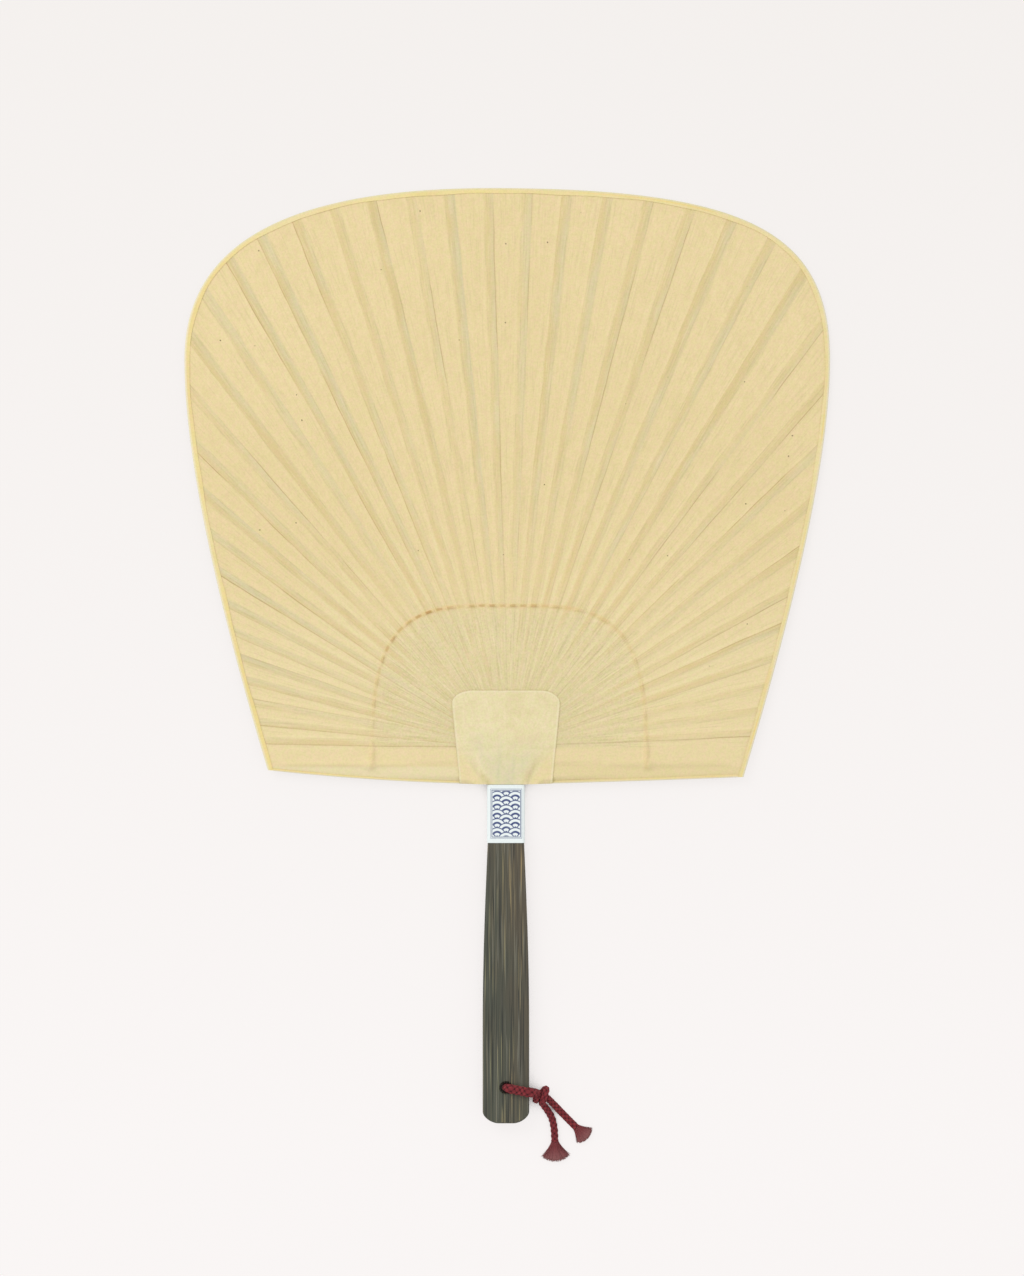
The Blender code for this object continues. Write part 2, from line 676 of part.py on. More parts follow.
def string_line():
    """The weaving string: wound on the stick, over and under each rib, and wound on the stick again."""
    crossings = []
    for index in range(RIB_COUNT):
        bend = BENDS[index]
        way = on_rim_at_bearing(BEARINGS[index]) - bend
        length = np.linalg.norm(way)
        way /= length
        place = bend + way * arch_crossing(bend, way, length)
        crossings.append(math.atan2(place[1], place[0]))
    swing = STRING_SWING - STRING_DIAMETER / 2 + RIB_THICKNESS / 2
    woven = []
    for index in range(RIB_COUNT - 1):
        for quarter in range(4):
            angle = crossings[index] + (crossings[index + 1] - crossings[index]) * quarter / 4
            woven.append((*arch_point(angle), swing * math.cos(math.pi * (index + quarter / 4))))
    woven.append((*arch_point(crossings[-1]), swing * math.cos(math.pi * (RIB_COUNT - 1))))
    ends = []
    for side in (-1, 1):
        foot = side * (ARCH_LEFT if side < 0 else ARCH_RIGHT)
        around = float(stick_radius(foot)) + GAP + STRING_DIAMETER / 2
        # The last turn leaves the front of the stick upwards, towards the first rib.
        turn = np.linspace(-2 * math.pi * STRING_TURNS, 0.0, int(10 * STRING_TURNS) + 1)
        x = foot + side * turn / (2 * math.pi) * STRING_TURN_PITCH * -1
        ends.append(np.stack([x, STICK_HEIGHT + around * np.sin(turn), around * np.cos(turn)], axis=1))
    return np.vstack([ends[0], woven, ends[1][::-1]])


def make_string(parts, fan, look):
    line = string_line()
    report_gap("weaving_string", line, np.full(len(line), STRING_DIAMETER / 2))
    return link("weaving_string", tube("weaving_string", line, STRING_DIAMETER / 2, 1), look, parts, fan)


def strip_solid(name, line, inward, width, parts, fan, look):
    """A paper strip folded round an edge: three faces across, thickened outwards.

    line is the outer edge that the strip reaches, and inward the way to the leaf's middle at each point.
    """
    inner = np.asarray(inward)
    face = GAP / 2 + PAPER_THICKNESS + GAP
    rows = []
    for place, way in zip(line, inner):
        edge = place + way * PAPER_THICKNESS
        lip = place + way * width
        rows.append([(*lip, face), (*edge, face), (*edge, -face), (*lip, -face)])
    points = np.array(rows).reshape(-1, 3)
    mesh = mesh_from(name, points, grid_faces(len(rows), 4))
    outward = mesh.polygons[0].normal.z
    if outward < 0:
        mesh.flip_normals()
    piece = link(name, mesh, look, parts, fan)
    solidify(piece, PAPER_THICKNESS)
    piece.modifiers["Thickness"].use_even_offset = True
    return piece


def make_strips(net, parts, fan, look):
    rim = net[:, -1, :2]
    tangent = np.gradient(rim, axis=0)
    tangent /= np.linalg.norm(tangent, axis=1)[:, None]
    inward = np.stack([tangent[:, 1], -tangent[:, 0]], axis=1)
    outer = rim - inward * STRIP_CLEARANCE
    for row, corner, name in (
        (0, LEFT_FOOT_CORNER, "foot_strip_left"),
        (-1, RIGHT_FOOT_CORNER, "foot_strip_right"),
    ):
        # The edge strip is cut off along the leaf's foot, so its lip ends lower than a square cut would.
        outer[row] = corner
        lip_x = corner[0] + EDGE_STRIP_WIDTH / inward[row, 0]
        inward[row] = (np.array([lip_x, float(foot_line(lip_x))]) - corner) / EDGE_STRIP_WIDTH
        x = np.linspace(math.copysign(FOOT_STRIP_START, lip_x), lip_x - math.copysign(GAP, lip_x), 8)
        line = np.stack([x, foot_line(x)], axis=1)
        strip_solid(name, line, np.tile((0.0, 1.0), (len(x), 1)), FOOT_STRIP_WIDTH, parts, fan, look)
    strip_solid("edge_strip", outer, inward, EDGE_STRIP_WIDTH, parts, fan, look)


def patch_outline():
    """The patch from the front: sides leaning out, rounded shoulders, and a foot that clears the foot strips."""
    width, height = PATCH_SHOULDER
    lean = (PATCH_TOP_HALF_WIDTH - PATCH_FOOT_HALF_WIDTH) / PATCH_HEIGHT
    turn = np.linspace(0.0, math.pi / 2, 8)
    centre = np.array([PATCH_TOP_HALF_WIDTH - width, PATCH_HEIGHT - height])
    shoulder = centre + PATCH_SHOULDER * np.stack([np.cos(turn), np.sin(turn)], axis=1)
    shoulder[0, 0] -= lean * height / 2
    neck, strip = STRIP_CLEARANCE + GAP, FOOT_STRIP_WIDTH + GAP
    foot = FOOT_STRIP_START - GAP
    right = np.vstack([[(foot, neck), (foot, strip), (PATCH_FOOT_HALF_WIDTH, strip)], shoulder])
    return np.vstack([right, right[::-1] * (-1, 1)])


def make_papers(net, parts, cutters, fan, looks):
    prism = guide("patch_shape", plate("patch_shape", patch_outline(), 4 * HANDLE_THICKNESS), cutters, fan)
    for side, word in ((1, "front"), (-1, "back")):
        paper = link(f"{word}_paper", skin(f"{word}_paper", net, side, 0.0), looks["paper"], parts, fan)
        solidify(paper, PAPER_THICKNESS)
        patch = link(f"{word}_patch", skin(f"{word}_patch", net, side, PAPER_THICKNESS + GAP), looks["patch"],
                     parts, fan)
        solidify(patch, PAPER_THICKNESS)
        boolean(patch, prism, "INTERSECT")


def make_label(parts, fan, look):
    """The label band: a sleeve round the neck, a little off the wood on every side."""
    arris, steps = HANDLE_ARRIS + GAP, 4
    wide, high = WAIST_HALF_WIDTH + GAP, HANDLE_THICKNESS / 2 + GAP
    ring = []
    for quarter, (sx, sz) in enumerate(((1, 1), (-1, 1), (-1, -1), (1, -1))):
        for k in range(steps):
            angle = math.pi / 2 * (quarter + k / (steps - 1))
            x = sx * (wide - arris) + arris * math.cos(angle)
            z = sz * (high - arris) + arris * math.sin(angle)
            ring.append((x, z))
    top, bottom = STRIP_CLEARANCE - GAP, -LABEL_LENGTH
    points = [(x, y, z) for y in (top, bottom) for x, z in ring]
    count = len(ring)
    faces = [(c, (c + 1) % count, count + (c + 1) % count, count + c) for c in range(count)]
    mesh = mesh_from("label_band", points, faces)
    middle = mesh.polygons[steps - 1]
    if middle.normal.dot(middle.center) < 0:
        mesh.flip_normals()
    piece = link("label_band", mesh, look, parts, fan)
    solidify(piece, PAPER_THICKNESS)
    return piece


# The hanging cord.

HOLE_Y = HOLE_FROM_END - HANDLE_LENGTH
CORD_RADIUS = CORD_DIAMETER / 2
STRAND_Z = HANDLE_THICKNESS / 2 + GAP + CORD_RADIUS
EDGE_STRIP_FACE = GAP / 2 + 2 * PAPER_THICKNESS + GAP
FLOOR_AT_HOLE = -(STRAND_Z + CORD_RADIUS)
SLOPE = -(FLOOR_AT_HOLE + EDGE_STRIP_FACE) / (LEAF_HEIGHT - HOLE_Y)


def floor_under(y):
    """Height, in the fan's own frame, of the surface that the fan lies on."""
    return FLOOR_AT_HOLE + SLOPE * (y - HOLE_Y)


KNOT_CORD_DIAMETER = CORD_DIAMETER * KNOT_SQUEEZE
KNOT_PITCH = KNOT_CORD_DIAMETER + KNOT_GAP


def knot_frame():
    """The knot's middle, its axis and the level way across it, in the hole's frame.

    The knot lies on the surface that the fan lies on.
    """
    angle = math.radians(KNOT_BEARING)
    height = floor_under(HOLE_Y + KNOT_PLACE[1]) + KNOT_PITCH + KNOT_CORD_DIAMETER / 2
    axis = np.array([math.cos(angle), math.sin(angle), 0.0])
    return np.array([*KNOT_PLACE, height]), axis, np.array([-axis[1], axis[0], 0.0])


def lying(step, lift=0.0):
    """A point of a leg that lies on the surface under the fan, or a little above it."""
    place = np.array(KNOT_PLACE) + step
    return np.array([*place, floor_under(HOLE_Y + place[1]) + CORD_RADIUS + lift])


def cord_line():
    """The cord from its left frayed end, through knot, hole and knot again, to its right frayed end.

    Points are in the hole's frame, and come with the cord's radius at each. The left leg's strand is wound
    round the right leg's strand, which runs straight through the knot.
    """
    middle, axis, across = knot_frame()
    up = np.array([0.0, 0.0, 1.0])
    half = KNOT_PITCH * KNOT_TURNS / 2
    coil = []
    for a in np.linspace(0.0, 2 * math.pi * KNOT_TURNS, int(14 * KNOT_TURNS) + 1):
        ahead = KNOT_PITCH * a / (2 * math.pi) - half
        coil.append(middle + axis * ahead + KNOT_PITCH * (up * math.cos(a) - across * math.sin(a)))
    loop = coil[0] * (1, 1, 0) / np.linalg.norm(coil[0][:2])
    rise = []
    for a in np.linspace(0.0, math.pi / 2, 5):
        rise.append(loop * CORD_BEND * (1 - math.cos(a)) + up * (STRAND_Z - CORD_BEND * (1 - math.sin(a))))
    over_edge = loop * (GRIP_HALF_WIDTH + 2 * GAP)
    halfway = (loop * CORD_BEND + over_edge) / 2
    left_leg = [lying(LEFT_LEG[3]), lying(LEFT_LEG[2]), lying(LEFT_LEG[1]), lying(LEFT_LEG[0], LEG_LIFT)]
    right_leg = [middle + axis * (half + CORD_RADIUS / 2), lying(RIGHT_LEG[0], LEG_LIFT)]
    right_leg += [lying(RIGHT_LEG[1]), lying(RIGHT_LEG[2])]
    below = np.array([1.0, 1.0, -1.0])
    route = [(p, 2) for p in left_leg] + [(p, 1) for p in coil[:0:-1]] + [(coil[0], 3)]
    route += [(over_edge + up * STRAND_Z, 2), (halfway + up * STRAND_Z, 2)]
    route += [(p, 1) for p in rise[:0:-1]] + [(rise[0], 2)] + [(p * below, 1) for p in rise[:-1]]
    route += [(rise[-1] * below, 2), (halfway - up * STRAND_Z, 2), (over_edge - up * STRAND_Z, 2)]
    route += [(middle - axis * (half + CORD_RADIUS / 2), 2), (middle, 2)] + [(p, 2) for p in right_leg]
    points, spans = zip(*route)
    line = catmull(points, spans[:-1])
    # The cord is squeezed thinner where the knot grips it, and none of it sinks into what it lies on.
    away = np.linalg.norm(line - middle, axis=1)
    gripped = math.hypot(KNOT_PITCH, KNOT_PITCH * (KNOT_TURNS + 1) / 2)
    radii = np.interp(away, [gripped, gripped + CORD_DIAMETER], [KNOT_CORD_DIAMETER / 2, CORD_RADIUS])
    line[:, 2] = np.maximum(line[:, 2], floor_under(HOLE_Y + line[:, 1]) + radii + CORD_FLOOR_GAP)
    return line, radii


def tuft(name, base, way, width):
    """A frayed end: round like the cord where it starts, then flat and flared, with a curved fringe."""
    way = np.array([*way, 0.0])
    across = np.array([way[1], -way[0], 0.0])
    up = np.array([0.0, 0.0, 1.0])
    angles = np.linspace(0.0, 2 * math.pi, 24, endpoint=False)
    rings = []
    for share in (0.0, 0.15, 0.35, 0.6, 0.85, 1.0):
        half = CORD_RADIUS + (width / 2 - CORD_RADIUS) * share**1.3
        thick = CORD_RADIUS + (TUFT_THICKNESS / 2 - CORD_RADIUS) * share
        ripple = 1.0 + 0.12 * share * np.cos(8 * angles)
        side = half * np.cos(angles)
        height = thick * np.sin(angles) * ripple
        ahead = TUFT_LENGTH * share - 0.22 * width * share * (side / (width / 2)) ** 2
        centre = base + up * (thick * (1 + 0.12 * share) - CORD_RADIUS)
        rings.append([centre + way * a + across * s + up * h for a, s, h in zip(ahead, side, height)])
    return loft(name, rings)


def make_cord(parts, fan, looks):
    pivot = bpy.data.objects.new("cord_pivot", None)
    pivot.parent = fan
    pivot.location = (0.0, HOLE_Y, 0.0)
    parts.objects.link(pivot)
    line, radii = cord_line()
    link("hanging_cord", tube("hanging_cord", line, radii, 2), looks["cord"], parts, pivot)
    report_gap("hanging_cord", line, radii)
    for name, end, before, width in (
        ("frayed_end_left", line[0], line[1], LEFT_TUFT_WIDTH),
        ("frayed_end_right", line[-1], line[-2], RIGHT_TUFT_WIDTH),
    ):
        way = (end - before)[:2]
        way /= np.linalg.norm(way)
        base = end + np.array([*way, 0.0]) * GAP
        link(name, tuft(name, base, way, width), looks["tuft"], parts, pivot)


def report_gap(name, line, radii):
    """Prints a cord's length and its least gap to itself, measured between points far apart along it."""
    along = lengths_along(line)
    both = radii[:, None] + radii[None]
    apart = np.abs(along[:, None] - along[None]) > 2.2 * both
    gaps = np.linalg.norm(line[:, None] - line[None], axis=2) - both
    least = gaps[apart].min()
    length = along[-1]
    print(f"{name}: {len(line)} points, {length / MM:.1f} mm long, least gap to itself {least / MM:.2f} mm")


def lay_down(fan, pieces):
    """Tips the fan onto its back and moves it so that its own box stands centred on the origin."""
    fan.rotation_euler = (-math.atan(SLOPE), 0.0, 0.0)
    bpy.context.view_layer.update()
    graph = bpy.context.evaluated_depsgraph_get()
    corners = []
    for piece in pieces:
        evaluated = piece.evaluated_get(graph)
        mesh = evaluated.to_mesh()
        places = np.empty(len(mesh.vertices) * 3)
        mesh.vertices.foreach_get("co", places)
        world = np.array(piece.matrix_world)
        places = places.reshape(-1, 3) @ world[:3, :3].T + world[:3, 3]
        corners += [places.min(axis=0), places.max(axis=0)]
        evaluated.to_mesh_clear()
    low, high = np.min(corners, axis=0), np.max(corners, axis=0)
    fan.location = Vector((-(low[0] + high[0]) / 2, -(low[1] + high[1]) / 2, -low[2]))
    bpy.context.view_layer.update()
    print("box of the fan without its cord, mm:", np.round((high - low) / MM, 2))
    print("hole centre, m:", [round(c, 6) for c in fan.matrix_world @ Vector((0.0, HOLE_Y, 0.0))])


def main():
    for leftover in list(bpy.data.objects):
        bpy.data.objects.remove(leftover)
    parts = collection("square_uchiwa_fan")
    cutters = collection("cutters")
    fan = bpy.data.objects.new("fan_frame", None)
    parts.objects.link(fan)
    looks = {
        "dark": material("smoked_bamboo", BAMBOO_DARK),
        "pale": material("split_bamboo", BAMBOO_PALE),
        "paper": material("leaf_paper", PAPER),
        "patch": material("patch_paper", PAPER_PATCH),
        "strip": material("strip_paper", STRIP_YELLOW),
        "label": material("label_paper", LABEL_PALE),
        "thread": material("thread", THREAD),
        "cord": material("cord", CORD_RED),
        "tuft": material("frayed_cord", TUFT_RED),
    }
    net = skin_net()
    make_handle(parts, cutters, fan, looks["dark"])
    for index in range(RIB_COUNT):
        make_rib(index, parts, fan, looks["pale"])
    make_stick(parts, fan, looks["pale"])
    make_string(parts, fan, looks["thread"])
    make_papers(net, parts, cutters, fan, looks)
    make_strips(net, parts, fan, looks["strip"])
    make_label(parts, fan, looks["label"])
    bpy.context.view_layer.update()
    own = [piece for piece in parts.objects if piece.type in ("MESH", "CURVE")]
    lay_down(fan, own)
    make_cord(parts, fan, looks)


main()
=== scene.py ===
# %% [markdown]
# # Dressing a square uchiwa
#
# An uchiwa is a stiff paper fan. One strip of bamboo is split at its end into thin ribs, a string is woven
# through them, and paper is pasted on both sides. The frame that this lesson loads holds every piece at its
# true size and place. The lesson gives the pieces their look: paper that dips between the ribs, a braided
# cord with frayed ends, streaky smoked bamboo and a printed label.

# %% Load the frame
import json
import math

import bpy
import numpy as np
from mathutils import Matrix


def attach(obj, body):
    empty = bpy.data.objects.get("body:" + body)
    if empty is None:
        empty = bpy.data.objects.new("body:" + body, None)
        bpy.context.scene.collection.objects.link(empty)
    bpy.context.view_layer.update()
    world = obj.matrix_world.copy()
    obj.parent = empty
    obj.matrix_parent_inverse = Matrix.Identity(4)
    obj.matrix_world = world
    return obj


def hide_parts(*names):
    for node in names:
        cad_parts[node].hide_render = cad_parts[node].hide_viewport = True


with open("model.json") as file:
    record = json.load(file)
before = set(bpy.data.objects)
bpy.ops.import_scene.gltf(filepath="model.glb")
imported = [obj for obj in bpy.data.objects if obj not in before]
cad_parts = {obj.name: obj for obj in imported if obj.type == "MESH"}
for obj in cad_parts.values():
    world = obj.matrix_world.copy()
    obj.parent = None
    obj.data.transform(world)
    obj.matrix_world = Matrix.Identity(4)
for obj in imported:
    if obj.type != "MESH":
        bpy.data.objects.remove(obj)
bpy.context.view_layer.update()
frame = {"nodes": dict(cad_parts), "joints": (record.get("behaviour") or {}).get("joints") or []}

scene = bpy.context.scene
MM = 0.001
print("pieces in the frame:", len(frame["nodes"]))

# %% [markdown]
# The fan lies on its back, tipped by the cord under its handle. Everything is easier to draw in the fan's
# own directions: X to its right, Y from the handle up the leaf, Z out of the front paper, with the origin
# where leaf and handle meet. The cord's joint turns about the hole in the handle, along that Z, so it gives
# both the place and the tilt.

# %% The fan's own directions
HOLE_HEIGHT = -119.9 * MM
swing = next(joint for joint in frame["joints"] if joint["name"] == "cord_swing")
rightwards = np.array([1.0, 0.0, 0.0])
outwards = np.array(swing["axis"]) / np.linalg.norm(swing["axis"])
upwards = np.cross(outwards, rightwards)
neck_place = np.array(swing["pos_m"]) - upwards * HOLE_HEIGHT
fan_axes = np.stack([rightwards, upwards, outwards])


def in_room(points):
    """Points of the fan's own frame, moved to where the fan lies: neck + x right + y up + z out."""
    return neck_place + np.asarray(points, float) @ fan_axes


print("the fan is tipped by degrees:", round(math.degrees(math.asin(outwards[1])), 3))

# %% [markdown]
# The photograph looks straight at the front paper from some way off, so the camera stands on the fan's own
# Z axis. The lens follows from two numbers: how much of the fan's plane the picture's height shows, and how
# far away the camera is.

# %% Camera
PICTURE_HEIGHT = 504.9 * MM
CAMERA_DISTANCE = 1.9
PICTURE_CENTRE = (2.4 * MM, 57.8 * MM, 0.0)
SENSOR_HEIGHT = 36.0

camera = bpy.data.objects.new("camera", bpy.data.cameras.new("camera"))
camera.data.sensor_fit = "VERTICAL"
camera.data.sensor_height = SENSOR_HEIGHT
camera.data.lens = SENSOR_HEIGHT * CAMERA_DISTANCE / PICTURE_HEIGHT
turn = Matrix(fan_axes.T.tolist()).to_4x4()
stand = in_room(PICTURE_CENTRE) + outwards * CAMERA_DISTANCE
camera.matrix_world = Matrix.Translation(stand.tolist()) @ turn
scene.collection.objects.link(camera)
scene.camera = camera
print("lens, mm:", round(camera.data.lens, 1))

# %% [markdown]
# Most pieces here are closed sheets: an outer grid of points and an inner one, joined along their borders.
# Four neighbours of a grid make a face. The faces are turned outwards by the sign of the volume that they
# enclose.


# %% Grids of faces
def grid_quads(rows, columns, around=False):
    """Faces of a grid numbered row by row; around also joins the last column to the first."""
    steps = np.arange(columns if around else columns - 1)
    r, c = np.meshgrid(np.arange(rows - 1) * columns, steps, indexing="ij")
    d = (c + 1) % columns
    return np.stack([r + c, r + d, r + columns + d, r + columns + c], axis=-1).reshape(-1, 4)


def sheet_faces(rows, columns):
    """Faces of a closed sheet: the outer grid, the inner grid turned over, and the four borders."""
    outer = grid_quads(rows, columns)
    inner = outer[:, ::-1] + rows * columns
    index = np.arange(rows * columns).reshape(rows, columns)
    ring = np.concatenate([index[0, :-1], index[:-1, -1], index[-1, :0:-1], index[:0:-1, 0]])
    after = np.roll(ring, -1)
    border = np.stack([after, ring, ring + rows * columns, after + rows * columns], axis=1)
    return np.vstack([outer, inner, border])


def sheet_corners(values):
    """A map for a closed sheet, from the values at each point of its grid."""
    rows, columns, parts = values.shape
    flat = values.reshape(rows * columns, parts)
    return np.vstack([flat, flat])[sheet_faces(rows, columns)]


def volume(points, faces):
    """Enclosed volume: a sixth of the sum of a . (b x c) over the two triangles of each face."""
    a, b, c, d = (points[faces[:, k]] for k in range(4))
    return (np.einsum("ij,ij->i", a, np.cross(b, c)) + np.einsum("ij,ij->i", a, np.cross(c, d))).sum() / 6


# %% Meshes into pieces
def make_piece(name, points, faces, look, body, node, maps=None, marks=None, flat=None):
    """A finished piece in the place of a node, from points in the fan's own frame and a list of faces.

    Maps hold values for each corner of each face, and marks a value for each point. Where neighbours meet at
    more than flat degrees, the edge between them stays sharp.
    """
    mesh = bpy.data.meshes.new(name)
    mesh.from_pydata(in_room(points).tolist(), [], faces)
    for key, value in (maps or {}).items():
        mesh.uv_layers.new(name=key).data.foreach_set("uv", np.ascontiguousarray(value, np.float32).ravel())
    for key, value in (marks or {}).items():
        mesh.attributes.new(key, "FLOAT", "POINT").data.foreach_set("value", value.astype(np.float32))
    mesh.materials.append(look)
    mesh.shade_smooth()
    if flat is not None:
        mesh.set_sharp_from_angle(angle=math.radians(flat))
    piece = bpy.data.objects.new(name, mesh)
    scene.collection.objects.link(piece)
    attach(piece, body)
    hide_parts(node)
    print(name, "has", len(faces), "faces")
    return piece


def sheet_piece(name, outer, inner, look, node, maps, flat=60.0):
    """A closed sheet on the fan, from the grids of its two faces."""
    points = np.vstack([outer.reshape(-1, 3), inner.reshape(-1, 3)])
    faces = sheet_faces(*outer.shape[:2])
    if volume(points - points.mean(axis=0), faces) < 0:
        faces = faces[:, ::-1]
        maps = {key: value[:, ::-1] for key, value in maps.items()}
    return make_piece(name, points, faces.tolist(), look, "fan", node, maps, flat=flat)


# %% [markdown]
# Materials are node trees. Writing sums with plain operators keeps them readable, so one small class wraps
# a socket: adding or multiplying wires adds Math nodes. Everything else, from noise to colour mixing, goes
# through its node method, which sets the node's settings first and then its sockets.


# %% A wire of a material
class Wire:
    """A socket of a node tree that sums can be written with."""

    def __init__(self, tree, socket):
        self.tree = tree
        self.socket = socket

    def node(self, kind, settings=None, sockets=None, out=0):
        """Adds a node, sets it up, and gives its sockets their values or links."""
        made = self.tree.nodes.new(kind)
        for key, value in (settings or {}).items():
            setattr(made, key, value)
        for key, value in (sockets or {}).items():
            if isinstance(value, Wire):
                self.tree.links.new(value.socket, made.inputs[key])
            else:
                made.inputs[key].default_value = value
        return Wire(self.tree, made.outputs[out])

    def math(self, operation, *values):
        return self.node("ShaderNodeMath", {"operation": operation}, dict(enumerate(values)))

    def __add__(self, other):
        return self.math("ADD", self, other)

    def __sub__(self, other):
        return self.math("SUBTRACT", self, other)

    def __mul__(self, other):
        return self.math("MULTIPLY", self, other)

    def __truediv__(self, other):
        return self.math("DIVIDE", self, other)

    def __rsub__(self, other):
        return self.math("SUBTRACT", other, self)

    def __abs__(self):
        return self.math("ABSOLUTE", self)

    __radd__ = __add__
    __rmul__ = __mul__

    def rises(self, low, high):
        """0 below low, 1 above high, with a smooth step between."""
        return self.node("ShaderNodeMapRange", {"interpolation_type": "SMOOTHSTEP"},
                         {"Value": self, "From Min": low, "From Max": high})

    def falls(self, low, high):
        """1 below low, 0 above high, with a smooth step between."""
        return 1 - self.rises(low, high)

    def between(self, low, high, start, end):
        """Runs evenly from start to end as the wire goes from low to high, and stops there."""
        return self.node("ShaderNodeMapRange", None, {"Value": self, "From Min": low, "From Max": high,
                                                      "To Min": start, "To Max": end})

    def mix(self, a, b, blend="MIX"):
        """Colour a where the wire is 0, and b, or their blend, where it is 1."""
        settings = {"data_type": "RGBA", "blend_type": blend}
        return self.node("ShaderNodeMix", settings, {0: self, 6: a, 7: b}, 2)

    def part(self, axis):
        """One of X, Y and Z of a vector."""
        return self.node("ShaderNodeSeparateXYZ", None, {0: self}, axis)

    def hypot(self, other):
        return self.math("SQRT", self * self + other * other)

    def stretched(self, scale, move=(0.0, 0.0, 0.0)):
        return self.node("ShaderNodeMapping", None, {"Vector": self, "Location": move, "Scale": scale})

    def noise(self, scale, detail=2.0, roughness=0.5):
        return self.node("ShaderNodeTexNoise", {"noise_dimensions": "3D"},
                         {"Vector": self, "Scale": scale, "Detail": detail, "Roughness": roughness})


# %% Starting and ending a material
def paint(red, green, blue):
    """A colour as a screen shows it, 0 to 255, turned into the linear values that nodes work with."""
    shown = np.array([red, green, blue]) / 255
    linear = np.where(shown <= 0.04045, shown / 12.92, ((shown + 0.055) / 1.055) ** 2.4)
    return (*linear.tolist(), 1.0)


def coated(colour, *coats):
    """The colour under coats of paint: each is a wire of how much of it shows, and a shade on a screen."""
    for amount, shade in coats:
        colour = amount.mix(colour, shade if isinstance(shade, Wire) else paint(*shade))
    return colour


def new_look(name, **constants):
    """A material and a wire of Object coordinates. Constants go on the sockets of its shader."""
    look = bpy.data.materials.new(name)
    look.use_nodes = True
    nodes = look.node_tree.nodes
    for key, value in constants.items():
        nodes["Principled BSDF"].inputs[key.replace("_", " ")].default_value = value
    return look, Wire(look.node_tree, nodes.new("ShaderNodeTexCoord").outputs["Object"])


def finished(look, relief, depth=0.05 * MM, strength=1.0, **wires):
    """The look with wires on its shader, and a relief, in shares of depth, on its normal by a Bump node."""
    shader = look.node_tree.nodes["Principled BSDF"]
    bump = relief.node("ShaderNodeBump", None, {"Strength": strength, "Distance": depth, "Height": relief})
    for key, wire in {"Normal": bump, **wires}.items():
        look.node_tree.links.new(wire.socket, shader.inputs[key.replace("_", " ")])
    return look


# %% Wires of a place on the fan
def uv_map(place, name):
    return place.node("ShaderNodeUVMap", {"uv_map": name})


def mark(place, name):
    return place.node("ShaderNodeAttribute", {"attribute_name": name}, out="Fac")


def right_and_up(place, y):
    """How far right and how far up from the point at height y on the fan's middle line."""
    start = in_room((0.0, y, 0.0))
    return place.part(0) - float(start[0]), place.part(1) - float(start[1])


# %% [markdown]
# ## The hanging cord
#
# A braided cord goes through the hole and both strands are tied beside the handle. The left strand is wound
# round the right one, which runs straight through. The route below is the frame's own: a coil on the knot's
# axis, two quarter bends at the mouths of the hole and two legs that lie on the table.

# %% Where the cord runs
CORD_RADIUS = 1.5 * MM
CORD_BEND = 2.8 * MM
CORD_STEP = 0.16 * MM
STRAND_HEIGHT = 4.1 * MM
GRIP_HALF_WIDTH = 9.2 * MM
OVER_EDGE = GRIP_HALF_WIDTH + 0.6 * MM
KNOT_MIDDLE = np.array([GRIP_HALF_WIDTH + 5.0 * MM, -3.3 * MM])
KNOT_BEARING = math.radians(-28.0)
KNOT_TURNS = 1.25
KNOT_RADIUS = 1.14 * MM
KNOT_PITCH = 2 * KNOT_RADIUS + 0.58 * MM
KNOT_GIVE = 0.27 * MM
LEFT_LEG = np.array([(5.2, -18.6), (4.9, -13.4), (4.0, -9.4), (2.4, -6.4)]) * MM
RIGHT_LEG = np.array([(4.9, -4.0), (7.6, -6.9), (13.6, -13.0)]) * MM
LEG_LIFT = 0.9 * MM


def table_under(y):
    """Height of the table, in the fan's frame, at a distance y above the hole."""
    return -(STRAND_HEIGHT + CORD_RADIUS) + y * outwards[1] / outwards[2]


def smooth_line(points, steps):
    """A Catmull-Rom line: between two points it is a cubic that heads along their neighbours."""
    ends = np.vstack([2 * points[0] - points[1], points, 2 * points[-1] - points[-2]])
    t = np.linspace(0.0, 1.0, steps, endpoint=False)[:, None, None]
    a, b, c, d = (ends[k : len(ends) - 3 + k] for k in range(4))
    spans = 0.5 * (2 * b + (c - a) * t + (2 * a - 5 * b + 4 * c - d) * t**2 + (3 * b - a - 3 * c + d) * t**3)
    return np.vstack([spans.transpose(1, 0, 2).reshape(-1, points.shape[1]), points[-1]])


def smoothstep(value):
    value = np.clip(value, 0.0, 1.0)
    return value * value * (3.0 - 2.0 * value)


def lengths_along(line):
    return np.concatenate([[0.0], np.cumsum(np.linalg.norm(np.diff(line, axis=0), axis=1))])


def even_points(line, count):
    """The line again as a number of points at even distances."""
    along = lengths_along(line)
    wanted = np.linspace(0.0, along[-1], count)
    return np.stack([np.interp(wanted, along, line[:, k]) for k in range(line.shape[1])], axis=1)


def even_steps(line, step):
    return even_points(line, int(lengths_along(line)[-1] / step) + 1)


def unit_tangent(line):
    tangent = np.gradient(line, axis=0)
    return tangent / np.linalg.norm(tangent, axis=1)[:, None]


